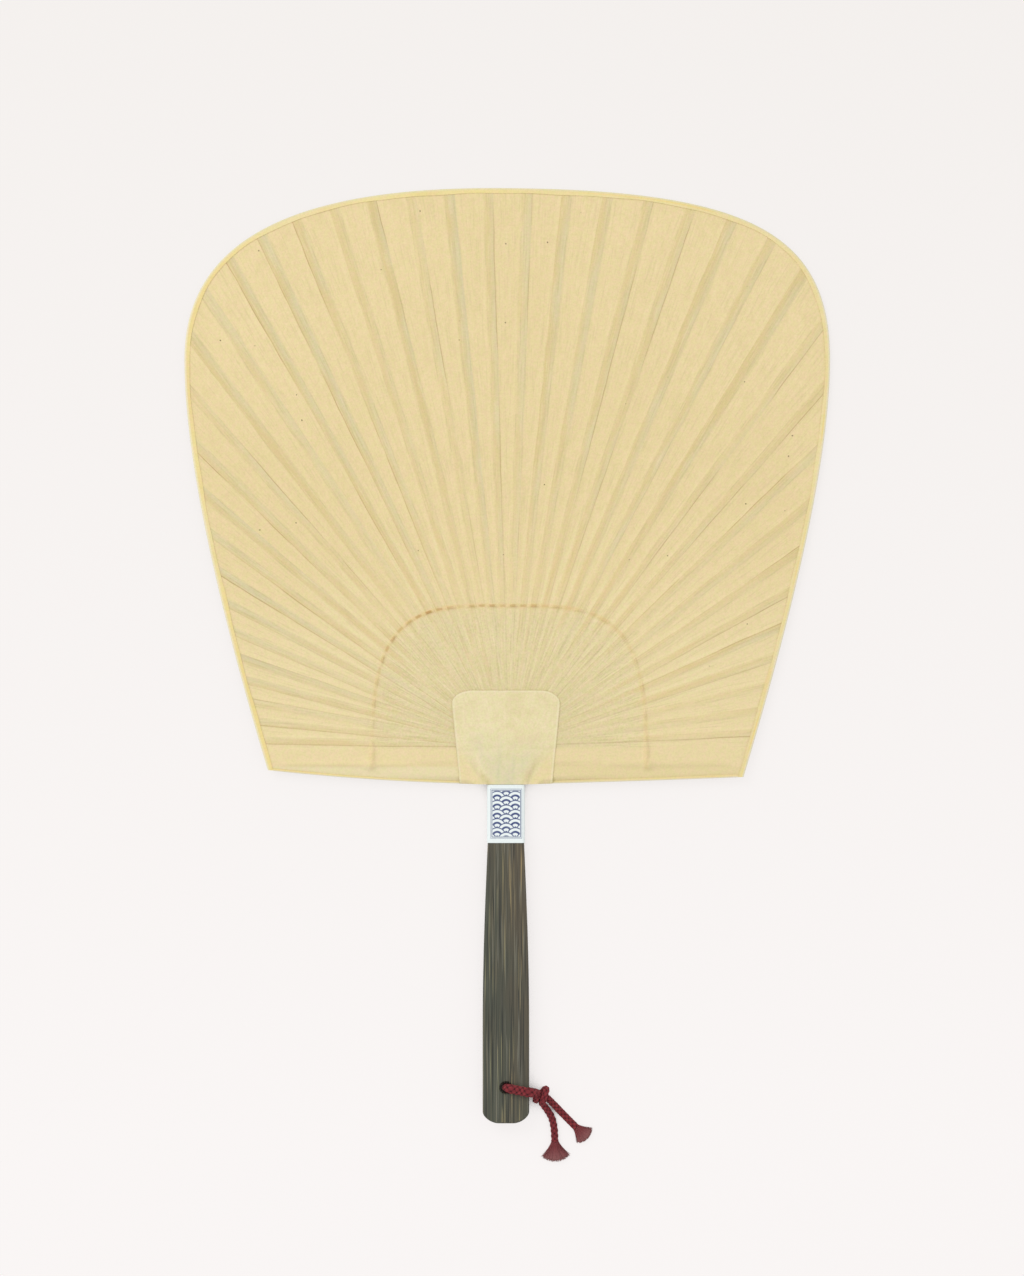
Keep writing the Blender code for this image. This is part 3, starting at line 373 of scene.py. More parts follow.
# %% The cord's route
def cord_route():
    """Points of the cord and its radius at each, from its left end to its right end."""
    axis = np.array([math.cos(KNOT_BEARING), math.sin(KNOT_BEARING), 0.0])
    side = np.array([-axis[1], axis[0], 0.0])
    up = np.array([0.0, 0.0, 1.0])
    middle = np.array([*KNOT_MIDDLE, table_under(KNOT_MIDDLE[1]) + KNOT_PITCH + KNOT_RADIUS])
    half = KNOT_PITCH * KNOT_TURNS / 2

    def lying(steps, lift):
        place = KNOT_MIDDLE + steps
        return np.column_stack([place, table_under(place[:, 1]) + CORD_RADIUS + lift])

    a = np.linspace(0.0, 2 * math.pi * KNOT_TURNS, int(14 * KNOT_TURNS) + 1)[:, None]
    coil = middle + axis * (KNOT_PITCH * a / (2 * math.pi) - half)
    coil = coil + KNOT_PITCH * (up * np.cos(a) - side * np.sin(a))
    loop = coil[0] * (1, 1, 0) / np.linalg.norm(coil[0][:2])
    b = np.linspace(0.0, math.pi / 2, 5)[:, None]
    rise = loop * CORD_BEND * (1 - np.cos(b)) + up * (STRAND_HEIGHT - CORD_BEND * (1 - np.sin(b)))
    over = np.array([loop * OVER_EDGE, loop * (CORD_BEND + OVER_EDGE) / 2]) + up * STRAND_HEIGHT
    below = np.array([1.0, 1.0, -1.0])
    mouth = axis * (half + CORD_RADIUS / 2)
    through = np.array([middle - mouth, middle, middle + mouth])
    left = lying(LEFT_LEG, np.array([0.0, 0.0, 0.0, LEG_LIFT]))
    right = lying(RIGHT_LEG, np.array([LEG_LIFT, 0.0, 0.0]))
    points = np.vstack([left, coil[::-1], over, rise[::-1], rise * below, over[::-1] * below, through, right])
    line = even_steps(smooth_line(points, 8), CORD_STEP)
    # In the knot the turns are squeezed until they touch, and none of the cord sinks into the table.
    gripped = math.hypot(KNOT_PITCH, KNOT_PITCH * (KNOT_TURNS + 1) / 2)
    away = np.linalg.norm(line - middle, axis=1)
    radii = np.interp(away, [gripped, gripped + 2 * CORD_RADIUS], [KNOT_RADIUS + KNOT_GIVE, CORD_RADIUS])
    line[:, 2] = np.maximum(line[:, 2], table_under(line[:, 1]) + radii + 0.05 * MM)
    return line + (0.0, HOLE_HEIGHT, 0.0), radii


cord_line, cord_radii = cord_route()

# %% [markdown]
# The braid is made of eight strands, four going round each way. On the cord's surface they are two sets of
# slanting lines, and each strand rides over and under the others by turns. Two running numbers, one for each
# set, grow by four for each turn round the cord. At each point the higher of the two strands there shows.


# %% The braid's relief
BRAID_PITCH = 8.6 * MM
BRAID_DEPTH = 0.30
CORD_SIDES = 36
PRESSED_FROM, PRESSED_OVER = 2.6 * MM, 1.2 * MM
PRESSED_SHAPE = (0.30, 0.30, -0.14)


def carried_ring(line):
    """Two directions square to a line at each point, which turn as little as they can along it."""
    tangent = unit_tangent(line)
    side = np.cross(tangent[0], (0.0, 0.0, 1.0))
    sides = []
    for way in tangent:
        side = side - way * (side @ way)
        side = side / np.linalg.norm(side)
        sides.append(side)
    sides = np.array(sides)
    return sides, np.cross(tangent, sides)


def braid(angle, along):
    """Height of the braid from 0 in its gaps to 1 on its crests.

    With u = 4 (turn - along / pitch) and v = 4 (turn + along / pitch), a strand of the first set is a round
    bar on each whole u that swings as cos(pi (u + v)) along its way, and the second set swings against it.
    """
    u = 4 * (angle / (2 * math.pi) - along / BRAID_PITCH)
    v = 4 * (angle / (2 * math.pi) + along / BRAID_PITCH)
    i, j = np.round(u), np.round(v)
    first = 0.60 * np.sqrt(np.clip(1 - (2.1 * (u - i)) ** 2, 0, 1)) + 0.40 * np.cos(math.pi * (v + i))
    second = 0.60 * np.sqrt(np.clip(1 - (2.1 * (v - j)) ** 2, 0, 1)) - 0.40 * np.cos(math.pi * (u + j))
    return np.clip(np.maximum(first, second), 0.0, 1.0), np.where(first > second, u - i, v - j)


def braided_tube(line, radii):
    """A tube round the line whose radius is pressed in by the braid's depth where the braid is low."""
    side, lift = carried_ring(line)
    angle = np.linspace(0.0, 2 * math.pi, CORD_SIDES, endpoint=False)[None]
    along = lengths_along(line)[:, None]
    height, across = braid(angle, along)
    thick = radii[:, None] * (1 - BRAID_DEPTH * (1 - height))
    ring = side[:, None] * np.cos(angle)[..., None] + lift[:, None] * np.sin(angle)[..., None]
    # Where it is pulled over the handle the soft cord is pressed flatter and wider.
    pressed = smoothstep((line[:, 2] - PRESSED_FROM) / PRESSED_OVER)[:, None, None]
    ring = ring * (1 + pressed * PRESSED_SHAPE)
    points = (line[:, None] + ring * thick[..., None]).reshape(-1, 3)
    # Each end is closed by a point at its middle.
    start, end = len(points), len(points) + 1
    k = np.arange(CORD_SIDES)
    n = (k + 1) % CORD_SIDES
    last = start - CORD_SIDES
    faces = grid_quads(len(line), CORD_SIDES, around=True).tolist()
    faces += np.stack([n, k, np.full_like(k, start)], axis=1).tolist()
    faces += np.stack([last + k, last + n, np.full_like(k, end)], axis=1).tolist()
    marks = {"crest": np.append(height, [0, 0]), "strand": np.append(across, [0, 0])}
    return np.vstack([points, line[0], line[-1]]), faces, marks


# %% The look of braided yarn
def cord_finish():
    """Dull red yarn with fine threads along each strand, painted shade in the braid's gaps, painted
    highlights on its crests.
    """
    look, place = new_look("braided_cord_yarn", Roughness=0.82, Sheen_Weight=0.25, Sheen_Roughness=0.5,
                           Sheen_Tint=(0.55, 0.22, 0.22, 1.0), Specular_IOR_Level=0.25)
    yarn = place.node("ShaderNodeMath", {"operation": "SINE"}, {0: mark(place, "strand") * 42.0})
    fuzz, patchy = place.noise(2600.0, 3.0, 0.6), place.noise(420.0, 2.0)
    depth = mark(place, "crest") + 0.16 * yarn + 0.5 * (fuzz - 0.5)
    # The braid's low places are darkened as painted shade, and its crests are lightened in patches as a
    # painted highlight.
    colour = depth.rises(0.22, 0.74).mix(paint(40, 16, 20), paint(124, 42, 48))
    colour = coated(colour, (depth.rises(0.66, 1.05) * patchy.rises(0.30, 0.70), (160, 62, 66)))
    return finished(look, 0.35 * yarn + 0.8 * fuzz, depth=0.09 * MM, Base_Color=colour)


tube_points, tube_faces, tube_marks = braided_tube(cord_line, cord_radii)
hanging_cord = make_piece("hanging_cord_braid", tube_points, tube_faces, cord_finish(), "cord",
                          "hanging_cord", marks=tube_marks)

# %% [markdown]
# The frayed ends are the cord's own threads, combed out flat and cut to a curve. Each tuft is a soft core
# with some hundreds of thin threads over it. A thread starts on the cord's round end and moves out to its
# place in the flat fringe by a power of the distance, so the tuft flares like a brush.

# %% Frayed ends
TUFT_THICKNESS = 1.8 * MM
TUFT_THREADS = 420
THREAD_RADIUS = 0.085 * MM
THREAD_RINGS, THREAD_SIDES = 7, 4
CORE_RINGS, CORE_SIDES = 9, 40
CORE_LENGTH = 0.93


def tuft_form(share, across, deep, width, length):
    """Points of the tuft: how far ahead, how far across and how high, for a share of its length.

    across and deep are -1 to 1 from side to side and from bottom to top. The half-width grows with the
    share to the power 1.3, and the fringe is cut back at its sides by the square of across.
    """
    bound = CORD_RADIUS * 0.92
    half = bound + (width / 2 - bound) * share**1.3
    thick = bound + (TUFT_THICKNESS / 2 - bound) * share
    ahead = length * share - 0.20 * width * share * across**2
    return np.stack([ahead, half * across, thick * (1 + deep) + 0.05 * MM], axis=-1)


def frayed_end(node, end, before, width, length, seed, look):
    """The core and the threads of one tuft, as one mesh of closed tubes."""
    way = (end - before) * (1, 1, 0)
    way /= np.linalg.norm(way)
    aside = np.array([way[1], -way[0], 0.0])
    chance = np.random.default_rng(seed)
    turn = chance.uniform(0, 2 * math.pi, TUFT_THREADS)
    reach = np.sqrt(chance.uniform(0.25, 1.0, TUFT_THREADS))
    across, deep = (reach * np.cos(turn))[:, None], (reach * np.sin(turn))[:, None]
    share = np.linspace(0.0, 1.0, THREAD_RINGS)[None] * chance.uniform(0.9, 1.02, TUFT_THREADS)[:, None]
    wave = np.sin(share * 7 + chance.uniform(0, 6, TUFT_THREADS)[:, None]) * share * 0.10
    threads = tuft_form(share, across + wave * 0.35, deep * 0.94, width, length)
    radius = THREAD_RADIUS * np.linspace(1.15, 0.6, THREAD_RINGS)[None, :, None, None]
    corner = np.array([(0, 1, 0), (0, 0, 1), (0, -1, 0), (0, 0, -1)], float)
    rings = threads[:, :, None] + corner * radius
    angle = np.linspace(0, 2 * math.pi, CORE_SIDES, endpoint=False)[None]
    ribbed = 0.90 + 0.04 * np.cos(17 * angle)
    core_share = np.linspace(0.0, CORE_LENGTH, CORE_RINGS)[:, None]
    core = tuft_form(core_share, np.cos(angle) * ribbed, np.sin(angle) * ribbed, width, length)

    tube, side = THREAD_RINGS * THREAD_SIDES, np.arange(THREAD_SIDES)
    ends = [side[::-1], tube + side - THREAD_SIDES]
    bar = np.vstack([grid_quads(THREAD_RINGS, THREAD_SIDES, around=True), *ends])
    bars = (bar[None] + tube * np.arange(TUFT_THREADS)[:, None, None]).reshape(-1, 4)
    base, around = tube * TUFT_THREADS, np.arange(CORE_SIDES)
    faces = bars.tolist() + (grid_quads(CORE_RINGS, CORE_SIDES, around=True) + base).tolist()
    faces += [(base + around[::-1]).tolist(), (base + CORE_SIDES * (CORE_RINGS - 1) + around).tolist()]

    local = np.vstack([rings.reshape(-1, 3), core.reshape(-1, 3)])
    placed = end * (1, 1, 0) + np.outer(local[:, 0], way) + np.outer(local[:, 1], aside)
    placed[:, 2] = table_under(end[1] - HOLE_HEIGHT + way[1] * local[:, 0]) + local[:, 2]
    thread_tint = np.repeat(chance.uniform(0, 1, TUFT_THREADS), tube)
    marks = {"tint": np.append(thread_tint, np.full(CORE_RINGS * CORE_SIDES, 0.35)),
             "ahead": local[:, 0] / length}
    return make_piece(f"{node}_threads", placed, faces, look, "cord", node, marks=marks)


# %% The look of combed threads
def thread_finish():
    """Combed threads: each a little lighter or darker, greyer towards the cut fringe."""
    look, place = new_look("combed_cord_threads", Roughness=0.9, Sheen_Weight=0.3, Sheen_Roughness=0.5,
                           Sheen_Tint=(0.6, 0.35, 0.35, 1.0), Specular_IOR_Level=0.2)
    tint = mark(place, "tint")
    red = tint.mix(paint(96, 40, 46), paint(152, 74, 76))
    grey = tint.mix(paint(120, 72, 76), paint(172, 118, 113))
    colour = (0.85 * mark(place, "ahead").rises(0.15, 0.95)).mix(red, grey)
    return finished(look, place.noise(3000.0, 2.0), Base_Color=colour)


thread_look = thread_finish()
tufts = [frayed_end("frayed_end_left", cord_line[0], cord_line[3], 12.2 * MM, 8.1 * MM, 3, thread_look),
         frayed_end("frayed_end_right", cord_line[-1], cord_line[-4], 9.0 * MM, 6.6 * MM, 8, thread_look)]
hole_mouth = in_room((0.0, HOLE_HEIGHT, -STRAND_HEIGHT + CORD_BEND))

# %% [markdown]
# ## The leaf
#
# The leaf's edge is four Bezier pieces: two sides that lean out to the widest place and two shoulders that
# meet at the crown. The ribs fan out of the handle's head. Each bends once and runs straight to the edge, so
# a rib is known by its bend and its direction, and every form on the leaf can be measured from those lines.

# %% The leaf's edge
LEAF_HEIGHT = 235.8 * MM
FOOT_X = {-1: 94.2 * MM, 1: 94.0 * MM}
FOOT_Y = {-1: 5.5 * MM, 1: 2.8 * MM}
FOOT_SAG = {-1: 1.0 * MM, 1: 0.2 * MM}
WIDEST = {-1: 127.2 * MM, 1: 128.2 * MM}
WIDEST_HEIGHT = 168.0 * MM
SHOULDERS = {-1: (44.0 * MM, 84.0 * MM), 1: (50.0 * MM, 103.0 * MM)}
CROWN = np.array([-6.0 * MM, LEAF_HEIGHT])
SIDE_LEAN = 0.30
NECK_HALF_WIDTH = 7.5 * MM
RIM_INSET = 0.45 * MM
SIDE_POINTS = 160


def by_side(x, values):
    """The value of the leaf's left half or of its right half."""
    return np.where(x < 0, values[-1], values[1])


def bezier(a, b, c, d, count):
    """The cubic curve (1-t)^3 a + 3 (1-t)^2 t b + 3 (1-t) t^2 c + t^3 d."""
    t = np.linspace(0.0, 1.0, count)[:, None]
    a, b, c, d = (np.array(p, float) for p in (a, b, c, d))
    return (1 - t) ** 3 * a + 3 * (1 - t) ** 2 * t * b + 3 * (1 - t) * t**2 * c + t**3 * d


def leaf_edge():
    """The edge from the left foot corner over the crown to the right foot corner."""
    lean = np.array([SIDE_LEAN, 1.0]) / math.hypot(SIDE_LEAN, 1.0) * 52.0 * MM
    halves = []
    for sign in (-1, 1):
        corner = np.array([sign * FOOT_X[sign], FOOT_Y[sign]])
        waist = np.array([sign * WIDEST[sign], WIDEST_HEIGHT])
        rise, reach = SHOULDERS[sign]
        low = bezier(corner, corner + lean * (sign, 1), waist - (0, 45.0 * MM), waist, SIDE_POINTS)
        high = bezier(waist, waist + (0, rise), CROWN + (sign * reach, 0), CROWN, 220)
        halves.append(np.vstack([low, high[1:]]))
    return np.vstack([halves[0], halves[1][-2::-1]])


def foot_line(x):
    """Height of the leaf's lower edge at x: rising evenly from the neck to a corner, with a slight sag."""
    share = np.clip((np.abs(x) - NECK_HALF_WIDTH) / (by_side(x, FOOT_X) - NECK_HALF_WIDTH), 0.0, 1.0)
    return by_side(x, FOOT_Y) * share - 4 * by_side(x, FOOT_SAG) * share * (1 - share)


def square_inwards(line):
    """The direction square to a line on its right-hand side, at each point."""
    return unit_tangent(line)[:, ::-1] * (1, -1)


edge = leaf_edge()
edge_inwards = square_inwards(edge)
rim = edge + edge_inwards * RIM_INSET
print("leaf, mm:", np.round((edge.max(axis=0) - edge.min(axis=0)) / MM, 1))

# %% The ribs' lines
RIB_COUNT = 41
RIB_PITCH = 0.42 * MM
HEAD_HALF_WIDTH = RIB_COUNT * RIB_PITCH / 2 + 0.3 * MM
FIRST_BEND = 15.1 * MM
FOCUS_HEIGHT = 8.7 * MM

rib_share = np.linspace(0.0, 1.0, RIB_COUNT)
bearings = 175.0 - 168.4 * rib_share + 4.9 * np.sin(math.pi * rib_share)
bearings -= 2.0 * np.sin(2 * math.pi * rib_share)
half_turn = np.radians(bearings - 90.0) / 2
rises = RIB_PITCH * np.tan((half_turn[:-1] + half_turn[1:]) / 2)
bends = np.stack([(np.arange(RIB_COUNT) - RIB_COUNT // 2) * RIB_PITCH,
                  FIRST_BEND + np.append(0.0, np.cumsum(rises))], axis=1)


def bearing_of(points):
    """Bearing about the ribs' focus, in degrees: 180 to the left, 0 to the right."""
    bearing = np.degrees(np.arctan2(points[:, 1] - FOCUS_HEIGHT, points[:, 0]))
    return np.where(bearing < -90.0, bearing + 360.0, bearing)


rim_bearings = bearing_of(rim)


def on_rim(bearing):
    """The rim's points at bearings about the focus."""
    return np.stack([np.interp(bearing, rim_bearings[::-1], rim[::-1, k]) for k in (0, 1)], axis=1)


rib_ways = on_rim(bearings) - bends
rib_lengths = np.linalg.norm(rib_ways, axis=1)
rib_ways /= rib_lengths[:, None]
print("ribs, mm long:", np.round([rib_lengths.min() / MM, rib_lengths.max() / MM], 1))

# %% [markdown]
# The weaving string crosses the ribs on an arch with square shoulders, a superellipse: the place where
# (x / half-width)^n + (y / height)^n is 1. The same sum, taken to the power 1 / n, says how far out a point
# lies as a share of the arch.

# %% Measuring from ribs and string
ARCH_HALF_WIDTH = {-1: 53.0 * MM, 1: 55.5 * MM}
ARCH_HEIGHT = 70.6 * MM
ARCH_SQUARENESS = 3.7
STICK_HEIGHT = 7.9 * MM


def arch_share(x, y):
    n = ARCH_SQUARENESS
    across, up = np.abs(x) / by_side(x, ARCH_HALF_WIDTH), np.maximum(y, 0.0) / ARCH_HEIGHT
    return (across**n + up**n) ** (1 / n)


def from_string(x, y):
    """Distance outwards from the arch: its share less 1, over the share's slope (by small steps)."""
    step = 0.05 * MM
    share = arch_share(x, y)
    slope = np.hypot(arch_share(x + step, y) - share, arch_share(x, y + step) - share) / step
    return (share - 1) / np.maximum(slope, 1.0)


def from_ribs(x, y):
    """For each point: its nearest rib, offset, distance past the bend, running rib number and gap.

    With w a rib's direction and p the way from its bend to the point, the offset is p x w and the distance
    p . w. The running number goes evenly from one rib to the next between them. The last value is the gap
    between the two nearest ribs.
    """
    p = np.stack([x, y], axis=-1)[..., None, :] - bends
    offset = p[..., 0] * rib_ways[:, 1] - p[..., 1] * rib_ways[:, 0]
    along = (p * rib_ways).sum(axis=-1)
    apart = np.where(along > 0, np.abs(offset), np.hypot(offset, along))
    order = np.argsort(apart, axis=-1)
    nearest, second = order[..., 0], order[..., 1]

    def pick(values, index):
        return np.take_along_axis(values, index[..., None], axis=-1)[..., 0]

    near, far = pick(apart, nearest), pick(apart, second)
    offset, along = pick(offset, nearest), pick(along, nearest)
    last = (nearest == 0) | (nearest == RIB_COUNT - 1)
    outside = last & (offset * np.where(nearest == 0, -1, 1) > 0)
    running = nearest + (second - nearest) * near / np.maximum(near + far, 1e-9)
    return (nearest, offset, np.maximum(along, 0.0), np.where(outside, nearest, running),
            np.where(outside, 20 * MM, near + far))


def string_height(running, y):
    """How far the string lies in front of the leaf's middle: over and under the ribs by turns.

    It is 0.8 mm times cos(pi running), and rises to the front of the stick beyond the first and last ribs.
    """
    low = np.clip((17.0 * MM - y) / (9.0 * MM), 0.0, 1.0) * ((running <= 0) | (running >= RIB_COUNT - 1))
    return 0.8 * MM * np.cos(math.pi * running) + 0.6 * MM * low


# %% [markdown]
# The paper lies over all of this like a skin. Its height is the tallest of five forms: ribs with shallow
# dips between them, the handle's head, the cross stick, the string, and the string's windings round the
# stick. Where two forms meet they are blended over a short way, as stretched paper does, and towards the
# edge everything sinks to the rim.

# %% How high the paper lies
PAPER_THICKNESS = 0.12 * MM
RIM_HEIGHT = 0.26 * MM
OVER_RIBS = 0.30 * MM
FLAT_FROM = 44 * MM
RIB_ON_EDGE, RIB_FLAT, RIB_THICKNESS = 3.0 * MM, 1.6 * MM, 0.34 * MM
STICK_REACH = 88.3 * MM


def fades(value):
    """1 at 0 and below, 0 at 1 and above, with a smooth step between."""
    return 1 - smoothstep(value)


def taller(a, b, reach):
    """The greater of two heights, with the corner between them rounded.

    It is max(a, b) + (reach - |a - b|)^2 / (4 reach) where they are nearer to each other than the reach.
    """
    return np.maximum(a, b) + np.maximum(reach - np.abs(a - b), 0.0) ** 2 / (4 * reach)


def rib_half_height(along):
    """A rib stands on edge at the head and turns flat on its way out: half of the height it takes up."""
    turn = smoothstep((along - 8 * MM) / (36 * MM)) * math.pi / 2
    wide = np.interp(along, [0.0, FLAT_FROM], [RIB_ON_EDGE, RIB_FLAT])
    return (wide * np.cos(turn) + RIB_THICKNESS * np.sin(turn)) / 2


def rib_half_width(along):
    """Half of the width that the rib shows through the paper."""
    return np.interp(along, [8 * MM, FLAT_FROM, 56 * MM, 95 * MM], [0.25 * MM, 0.8 * MM, 0.8 * MM, 1.6 * MM])


def to_edge(x, y):
    """Distance to the leaf's edge: how much nearer the focus a point is, times the edge's slant there."""
    points = np.stack([np.ravel(x), np.ravel(y)], axis=1)
    bearing = bearing_of(points)
    edge_bearings = bearing_of(edge)[::-1]
    on_edge = edge - (0.0, FOCUS_HEIGHT)
    reach = np.linalg.norm(on_edge, axis=1)
    slant = np.interp(bearing, edge_bearings, (-(on_edge * edge_inwards).sum(axis=1) / reach)[::-1])
    reach = np.interp(bearing, edge_bearings, reach[::-1])
    sides = (reach - np.linalg.norm(points - (0.0, FOCUS_HEIGHT), axis=1)) * slant
    foot = points[:, 1] - foot_line(points[:, 0])
    # At the neck the paper runs on over the handle and doesn't sink to its foot.
    neck = fades((np.abs(points[:, 0]) - 9 * MM) / (6 * MM))
    return np.minimum(sides, foot * 1.6 + 6 * MM * neck).reshape(np.shape(x))


def paper_height(x, y, face):
    """Height of the paper's outer face above the leaf's middle, on the front (face 1) or the back (-1)."""
    _, offset, along, running, gap = from_ribs(x, y)
    # Close to the head the ribs stand on edge, and the paper keeps off them by as much again.
    over_rib = rib_half_height(along) + OVER_RIBS * (1 + fades((y - 17 * MM) / (9 * MM)))
    dip = 0.24 * MM * smoothstep((gap - 0.8 * MM) / (5 * MM)) + 0.05 * MM * smoothstep(gap / (1.5 * MM))
    beside = smoothstep((np.abs(offset) - 0.75 * rib_half_width(along)) / np.minimum(1.3 * MM, gap * 0.45))
    height = over_rib - dip * beside

    head_edge = (np.abs(x) - 7.2 * MM - 0.15 * y) / (2.0 * MM + 0.45 * np.maximum(y, 0.0))
    head = 2.55 * MM * fades(head_edge) * fades((y - 10.5 * MM) / (9 * MM))
    height = taller(height, head, 0.5 * MM)

    radius = np.interp(np.abs(x), [HEAD_HALF_WIDTH, 88 * MM], [1.2 * MM, 0.6 * MM])
    stick = (radius + 0.26 * MM) * fades(np.abs(y - STICK_HEIGHT) / (radius + 1.5 * MM))
    height = taller(height, stick * fades((np.abs(x) - STICK_REACH) / (2.5 * MM)), 0.25 * MM)

    spread = (1.3 + 1.1 * np.clip((26.0 * MM - y) / (12.0 * MM), 0.0, 1.0)) * MM
    thread = (face * string_height(running, y) + 0.48 * MM) * fades(np.abs(from_string(x, y)) / spread)
    height = taller(height, np.where(y < STICK_HEIGHT - 1 * MM, 0.0, thread), 0.12 * MM)

    from_windings = (np.abs(x) - by_side(x, ARCH_HALF_WIDTH) - 0.7 * MM) * 0.8
    windings = 2.0 * MM * fades(np.hypot(from_windings, y - STICK_HEIGHT) / (4.2 * MM))
    height = taller(height, windings, 0.2 * MM)
    inside = smoothstep((to_edge(x, y) - 0.5 * MM) / (4.2 * MM))
    return RIM_HEIGHT + (height - RIM_HEIGHT) * inside


# %% [markdown]
# The paper's grid has a column along each rib and more between them, crowded where the dips begin. Its rows
# run from the neck over the head, out to the string, over it in small steps, and on to the rim. Below the
# outermost ribs the columns swing down to the foot of the leaf.

# %% The paper's grid
FOOT_COLUMNS = 26


def arch_crossing(start, way, reach):
    """How far along each ray the arch is crossed, found by halving the interval."""
    low, high = np.zeros(len(start)), np.array(reach, float)
    for _ in range(30):
        middle = (low + high) / 2
        place = start + way * middle[:, None]
        inside = arch_share(place[:, 0], place[:, 1]) < 1.0
        low, high = np.where(inside, middle, low), np.where(inside, high, middle)
    return low


def paper_rays():
    """Start at the neck, bend, end on the rim and foot share (1 on the leaf's foot) of each column."""
    between = np.array([0.0, 0.05, 0.10, 0.15, 0.21, 0.32, 0.5, 0.68, 0.79, 0.85, 0.90, 0.95])
    number = np.append((np.arange(RIB_COUNT - 1)[:, None] + between).ravel(), RIB_COUNT - 1)
    index = np.arange(RIB_COUNT)
    bend = np.stack([np.interp(number, index, bends[:, k]) for k in (0, 1)], axis=1)
    start = np.stack([(number / 20 - 1) * 7.0 * MM, np.full(len(number), 0.1 * MM)], axis=1)
    rays = np.stack([start, bend, on_rim(np.interp(number, index, bearings))])
    share = np.linspace(0.0, 1.0, FOOT_COLUMNS + 1)[1:, None]
    groups = []
    for sign, corner, side in ((-1, 0, rim[:SIDE_POINTS]), (1, -1, rim[::-1][:SIDE_POINTS])):
        last_start, last_bend, last_end = rays[:, corner]
        end_y = last_end[1] + (side[0, 1] + 0.3 * MM - last_end[1]) * share[:, 0]
        low_start = last_start + ((sign * NECK_HALF_WIDTH, 0.1 * MM) - last_start) * share
        low_bend = last_bend + ((sign * HEAD_HALF_WIDTH, 0.3 * MM) - last_bend) * share
        low_end = np.stack([np.interp(end_y, side[:, 1], side[:, 0]), end_y], axis=1)
        groups.append(np.stack([low_start, low_bend, low_end]))
    left, right = groups
    foot = np.concatenate([share[::-1, 0], np.zeros(len(number)), share[:, 0]])
    return (*np.concatenate([left[:, ::-1], rays, right], axis=1), foot)


def paper_grid():
    """The plan of the paper: rows from the neck to the rim, columns from the left foot to the right foot."""
    start, bend, end, foot = paper_rays()
    way = end - bend
    reach = np.linalg.norm(way, axis=1)
    way /= reach[:, None]
    string = np.clip(arch_crossing(bend, way, reach), 10 * MM, reach - 12 * MM)
    runs = [(0 * string, string - 2 * MM, 18), (string - 2 * MM, string + 2 * MM, 9),
            (string + 2 * MM, reach - 5.5 * MM, 22), (reach - 5.5 * MM, reach, 7)]
    steps = [low + (high - low) * k / count for low, high, count in runs for k in range(count)] + [reach]
    rows = [start + (bend - start) * k / 16 for k in range(16)] + [bend + way * s[:, None] for s in steps]
    plan = np.array(rows)
    x = plan[..., 0]
    share = np.clip((np.abs(x) - NECK_HALF_WIDTH) / (94 * MM - NECK_HALF_WIDTH), 0.0, 1.0)
    plan[..., 1] -= foot * 4 * by_side(x, FOOT_SAG) * share * (1 - share)
    plan[..., 1] = np.maximum(plan[..., 1], foot_line(x) + 0.1 * MM)
    return plan


plan = paper_grid()
print("paper grid:", plan.shape[:2], "faces of both sides:", 2 * (plan.shape[0] - 1) * (plan.shape[1] - 1))

# %% [markdown]
# ## Paper that shows what lies under it
#
# Thin washi lets the bamboo show through as soft darker bands, sometimes with a crisp brown line of painted
# shade along a rib's edge. Bands can't be painted by place alone, because they follow forty-one lines. So
# each corner of each face carries two small maps: its rib's number with its offset and its distance along,
# and its distance from the string with the string's height there.


# %% Maps of ribs and string
def paper_maps(plan, face):
    """The rib map holds (number + offset x 10, distance along) and the string map (distance, string height).

    A whole face takes the offset from one rib, the nearest to its middle, so that no face is painted across
    the seam half way between two ribs.
    """
    rows, columns = plan.shape[:2]
    quads = grid_quads(rows, columns)
    flat = plan.reshape(-1, 2)
    corners = flat[quads]
    nearest = from_ribs(*corners.mean(axis=1).T)[0]
    p, way = corners - bends[nearest][:, None], rib_ways[nearest][:, None]
    offset = p[..., 0] * way[..., 1] - p[..., 1] * way[..., 0]
    ribs = np.stack([nearest[:, None] + np.clip(offset * 10, -0.45, 0.45), (p * way).sum(axis=-1)], axis=-1)
    x, y = flat.T
    thread = face * string_height(from_ribs(x, y)[3], y) / MM
    string = np.stack([from_string(x, y) * 10, thread], axis=-1)[quads]
    # The borders between the two faces show neither rib nor string.
    borders = np.ones((2 * (rows + columns - 2), 4, 1))
    return {"ribs": np.vstack([ribs, ribs[:, ::-1], borders * (0.45, 0.0)]),
            "string": np.vstack([string, string[:, ::-1], borders * (1.0, -1.0)])}


# %% The plain sheet
def washi_ground(place):
    """The plain sheet: warm yellow-white with clouds, faint fibres and a few dark flecks of bark."""
    fibres = place.stretched((1.0, 0.35, 1.0)).noise(900.0, 4.0, 0.7)
    mottle = place.stretched((1.0, 0.7, 1.0)).noise(260.0, 3.0, 0.65)
    cell = {"Vector": place, "Scale": 62.0, "Randomness": 1.0}
    scatter = {"feature": "F1", "voronoi_dimensions": "2D"}
    near = place.node("ShaderNodeTexVoronoi", scatter, cell, "Distance")
    rare = place.node("ShaderNodeTexVoronoi", scatter, cell, "Color").part(0)
    ragged = near + 0.025 * (place.noise(2200.0, 2.0) - 0.5)
    fleck = (ragged - rare * 0.012).falls(0.002, 0.012) * rare.rises(0.80, 0.82)
    colour = place.noise(11.0, 3.0, 0.6).rises(0.30, 0.70).mix(paint(236, 216, 166), paint(232, 212, 161))
    return coated(colour, (0.40 * mottle.rises(0.40, 0.70), (226, 206, 156)),
                  (0.35 * fibres.rises(0.35, 0.75), (222, 201, 149)), (0.80 * fleck, (104, 92, 62))), fibres


